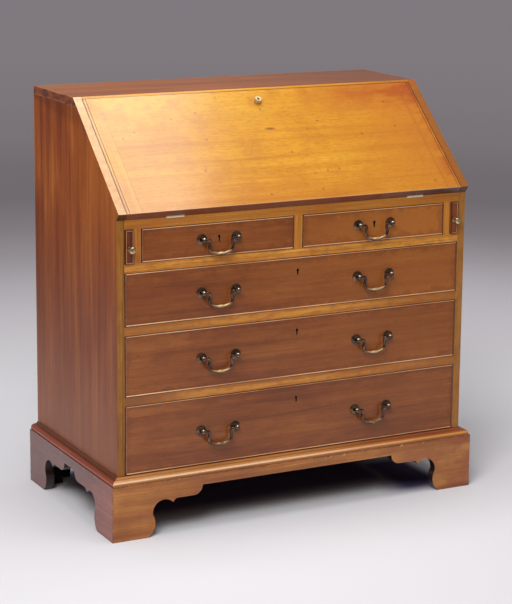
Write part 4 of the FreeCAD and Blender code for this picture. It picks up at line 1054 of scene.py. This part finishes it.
bpy.ops.object.select_all(action="DESELECT")
bpy.ops.mesh.primitive_circle_add(vertices=96, radius=FLOOR_RADIUS, fill_type="NGON", location=(0, 0, 0))
floor = bpy.context.object
floor.name = "studio_floor"
floor_paint, tree, surface = new_material("studio_floor")
place = object_place(tree)
distance = add(tree, "ShaderNodeVectorMath", {0: place}, operation="LENGTH").outputs["Value"]
level = add(tree, "ShaderNodeFloatCurve", {1: calc(tree, "DIVIDE", distance, FLOOR_TONES[-1][0])})
curve = level.mapping.curves[0]
while len(curve.points) < len(FLOOR_TONES):
    curve.points.new(1, 1)
for point, (far, tone) in zip(curve.points, FLOOR_TONES):
    point.location = (far / FLOOR_TONES[-1][0], tone)
    point.handle_type = "VECTOR"
level.mapping.update()
tint = mix(tree, fade(tree, distance, *TINT_REACH), NEAR_TINT, FAR_TINT)
x, y, _ = split(tree, place)
to_right, shadow_under_case, shadow_beside_foot = (
    both(tree, *(fade(tree, amount, *ends) for amount, ends in zip(amounts, limits)))
    for amounts, limits in (((x, y, distance), FLOOR_LIGHT_ENDS), ((x, x, y, y), FLOOR_SHADOW_ENDS),
                            ((x, x, y, y), FOOT_SHADOW_ENDS)))
# Painted light on the floor to the right.
floor_with_painted_light = both(tree, level.outputs[0], calc(tree, "MULTIPLY_ADD", to_right, FLOOR_LIGHT_LIFT, 1.0))
tinted = add(tree, "ShaderNodeMix", {0: 1.0, 6: floor_with_painted_light, 7: tint}, data_type="RGBA",
             blend_type="MULTIPLY").outputs[2]
# Painted shadow under the case and beside the right foot.
shaded = calc(tree, "MAXIMUM", shadow_under_case, shadow_beside_foot)
feed(tree, surface, {"Base Color": mix(tree, shaded, tinted, PAINTED_FLOOR_SHADOW), "Roughness": 0.8,
                     "Specular IOR Level": 0.0})
floor.data.materials.append(floor_paint)

world = bpy.data.worlds.new("studio_air")
bpy.context.scene.world = world
world.use_nodes = True
sky = world.node_tree
height = split(sky, add(sky, "ShaderNodeTexCoord").outputs["Generated"])[2]
overhead = calc(sky, "MULTIPLY", fade(sky, height, 0.05, 0.8), AMBIENT)
seen = add(sky, "ShaderNodeLightPath").outputs
direct = calc(sky, "MAXIMUM", calc(sky, "MAXIMUM", seen["Is Camera Ray"], seen["Is Glossy Ray"]),
              seen["Is Transmission Ray"])
strength = add(sky, "ShaderNodeMapRange", {0: direct, 3: overhead, 4: BACKDROP}).outputs[0]
feed(sky, sky.nodes["Background"], {"Strength": strength, "Color": AIR_TINT})


def softbox(name, spot, aim, width, depth, watts):
    """An oblong lamp at a spot, turned to a point."""
    light = bpy.data.lights.new(name, "AREA")
    light.shape = "RECTANGLE"
    light.size = width
    light.size_y = depth
    light.energy = watts
    lamp = bpy.data.objects.new(name, light)
    bpy.context.scene.collection.objects.link(lamp)
    lamp.location = spot
    lamp.rotation_euler = (Vector(aim) - Vector(spot)).to_track_quat("-Z", "Y").to_euler()
    lamp.visible_camera = False
    return lamp


softbox("overhead_softbox", spot=(-0.05, -0.25, 2.45), aim=(-0.05, -0.25, 0.0),
        width=1.2, depth=1.3, watts=23)
fill = softbox("front_left_fill", spot=(-2.4, -2.7, 3.7), aim=(0, -0.1, 0.5),
               width=2.0, depth=2.0, watts=130)
fill.visible_glossy = False
side_fill = softbox("left_side_fill", spot=(-2.6, 0.3, 2.5), aim=(-0.45, 0, 0.8),
                    width=1.0, depth=1.0, watts=11)
side_fill.visible_glossy = False

CAMERA_SPOT = (-2.2053, -4.2510, 1.5810)
CAMERA_TURN = math.radians(27.551)
CAMERA_TILT = math.radians(11.283)
CAMERA_ROLL = math.radians(0.537)
CAMERA_LENS = 117.05
CAMERA_SHIFT = -0.10

camera_data = bpy.data.cameras.new("camera")
camera_data.lens = CAMERA_LENS
camera_data.sensor_width = 36
camera_data.shift_y = CAMERA_SHIFT
camera = bpy.data.objects.new("camera", camera_data)
bpy.context.scene.collection.objects.link(camera)
camera.location = CAMERA_SPOT
level_view = Euler((math.pi / 2 - CAMERA_TILT, 0, -CAMERA_TURN)).to_matrix()
camera.rotation_euler = (level_view @ Matrix.Rotation(CAMERA_ROLL, 3, "Z")).to_euler()
bpy.context.scene.camera = camera
bpy.context.scene.view_settings.view_transform = "Standard"
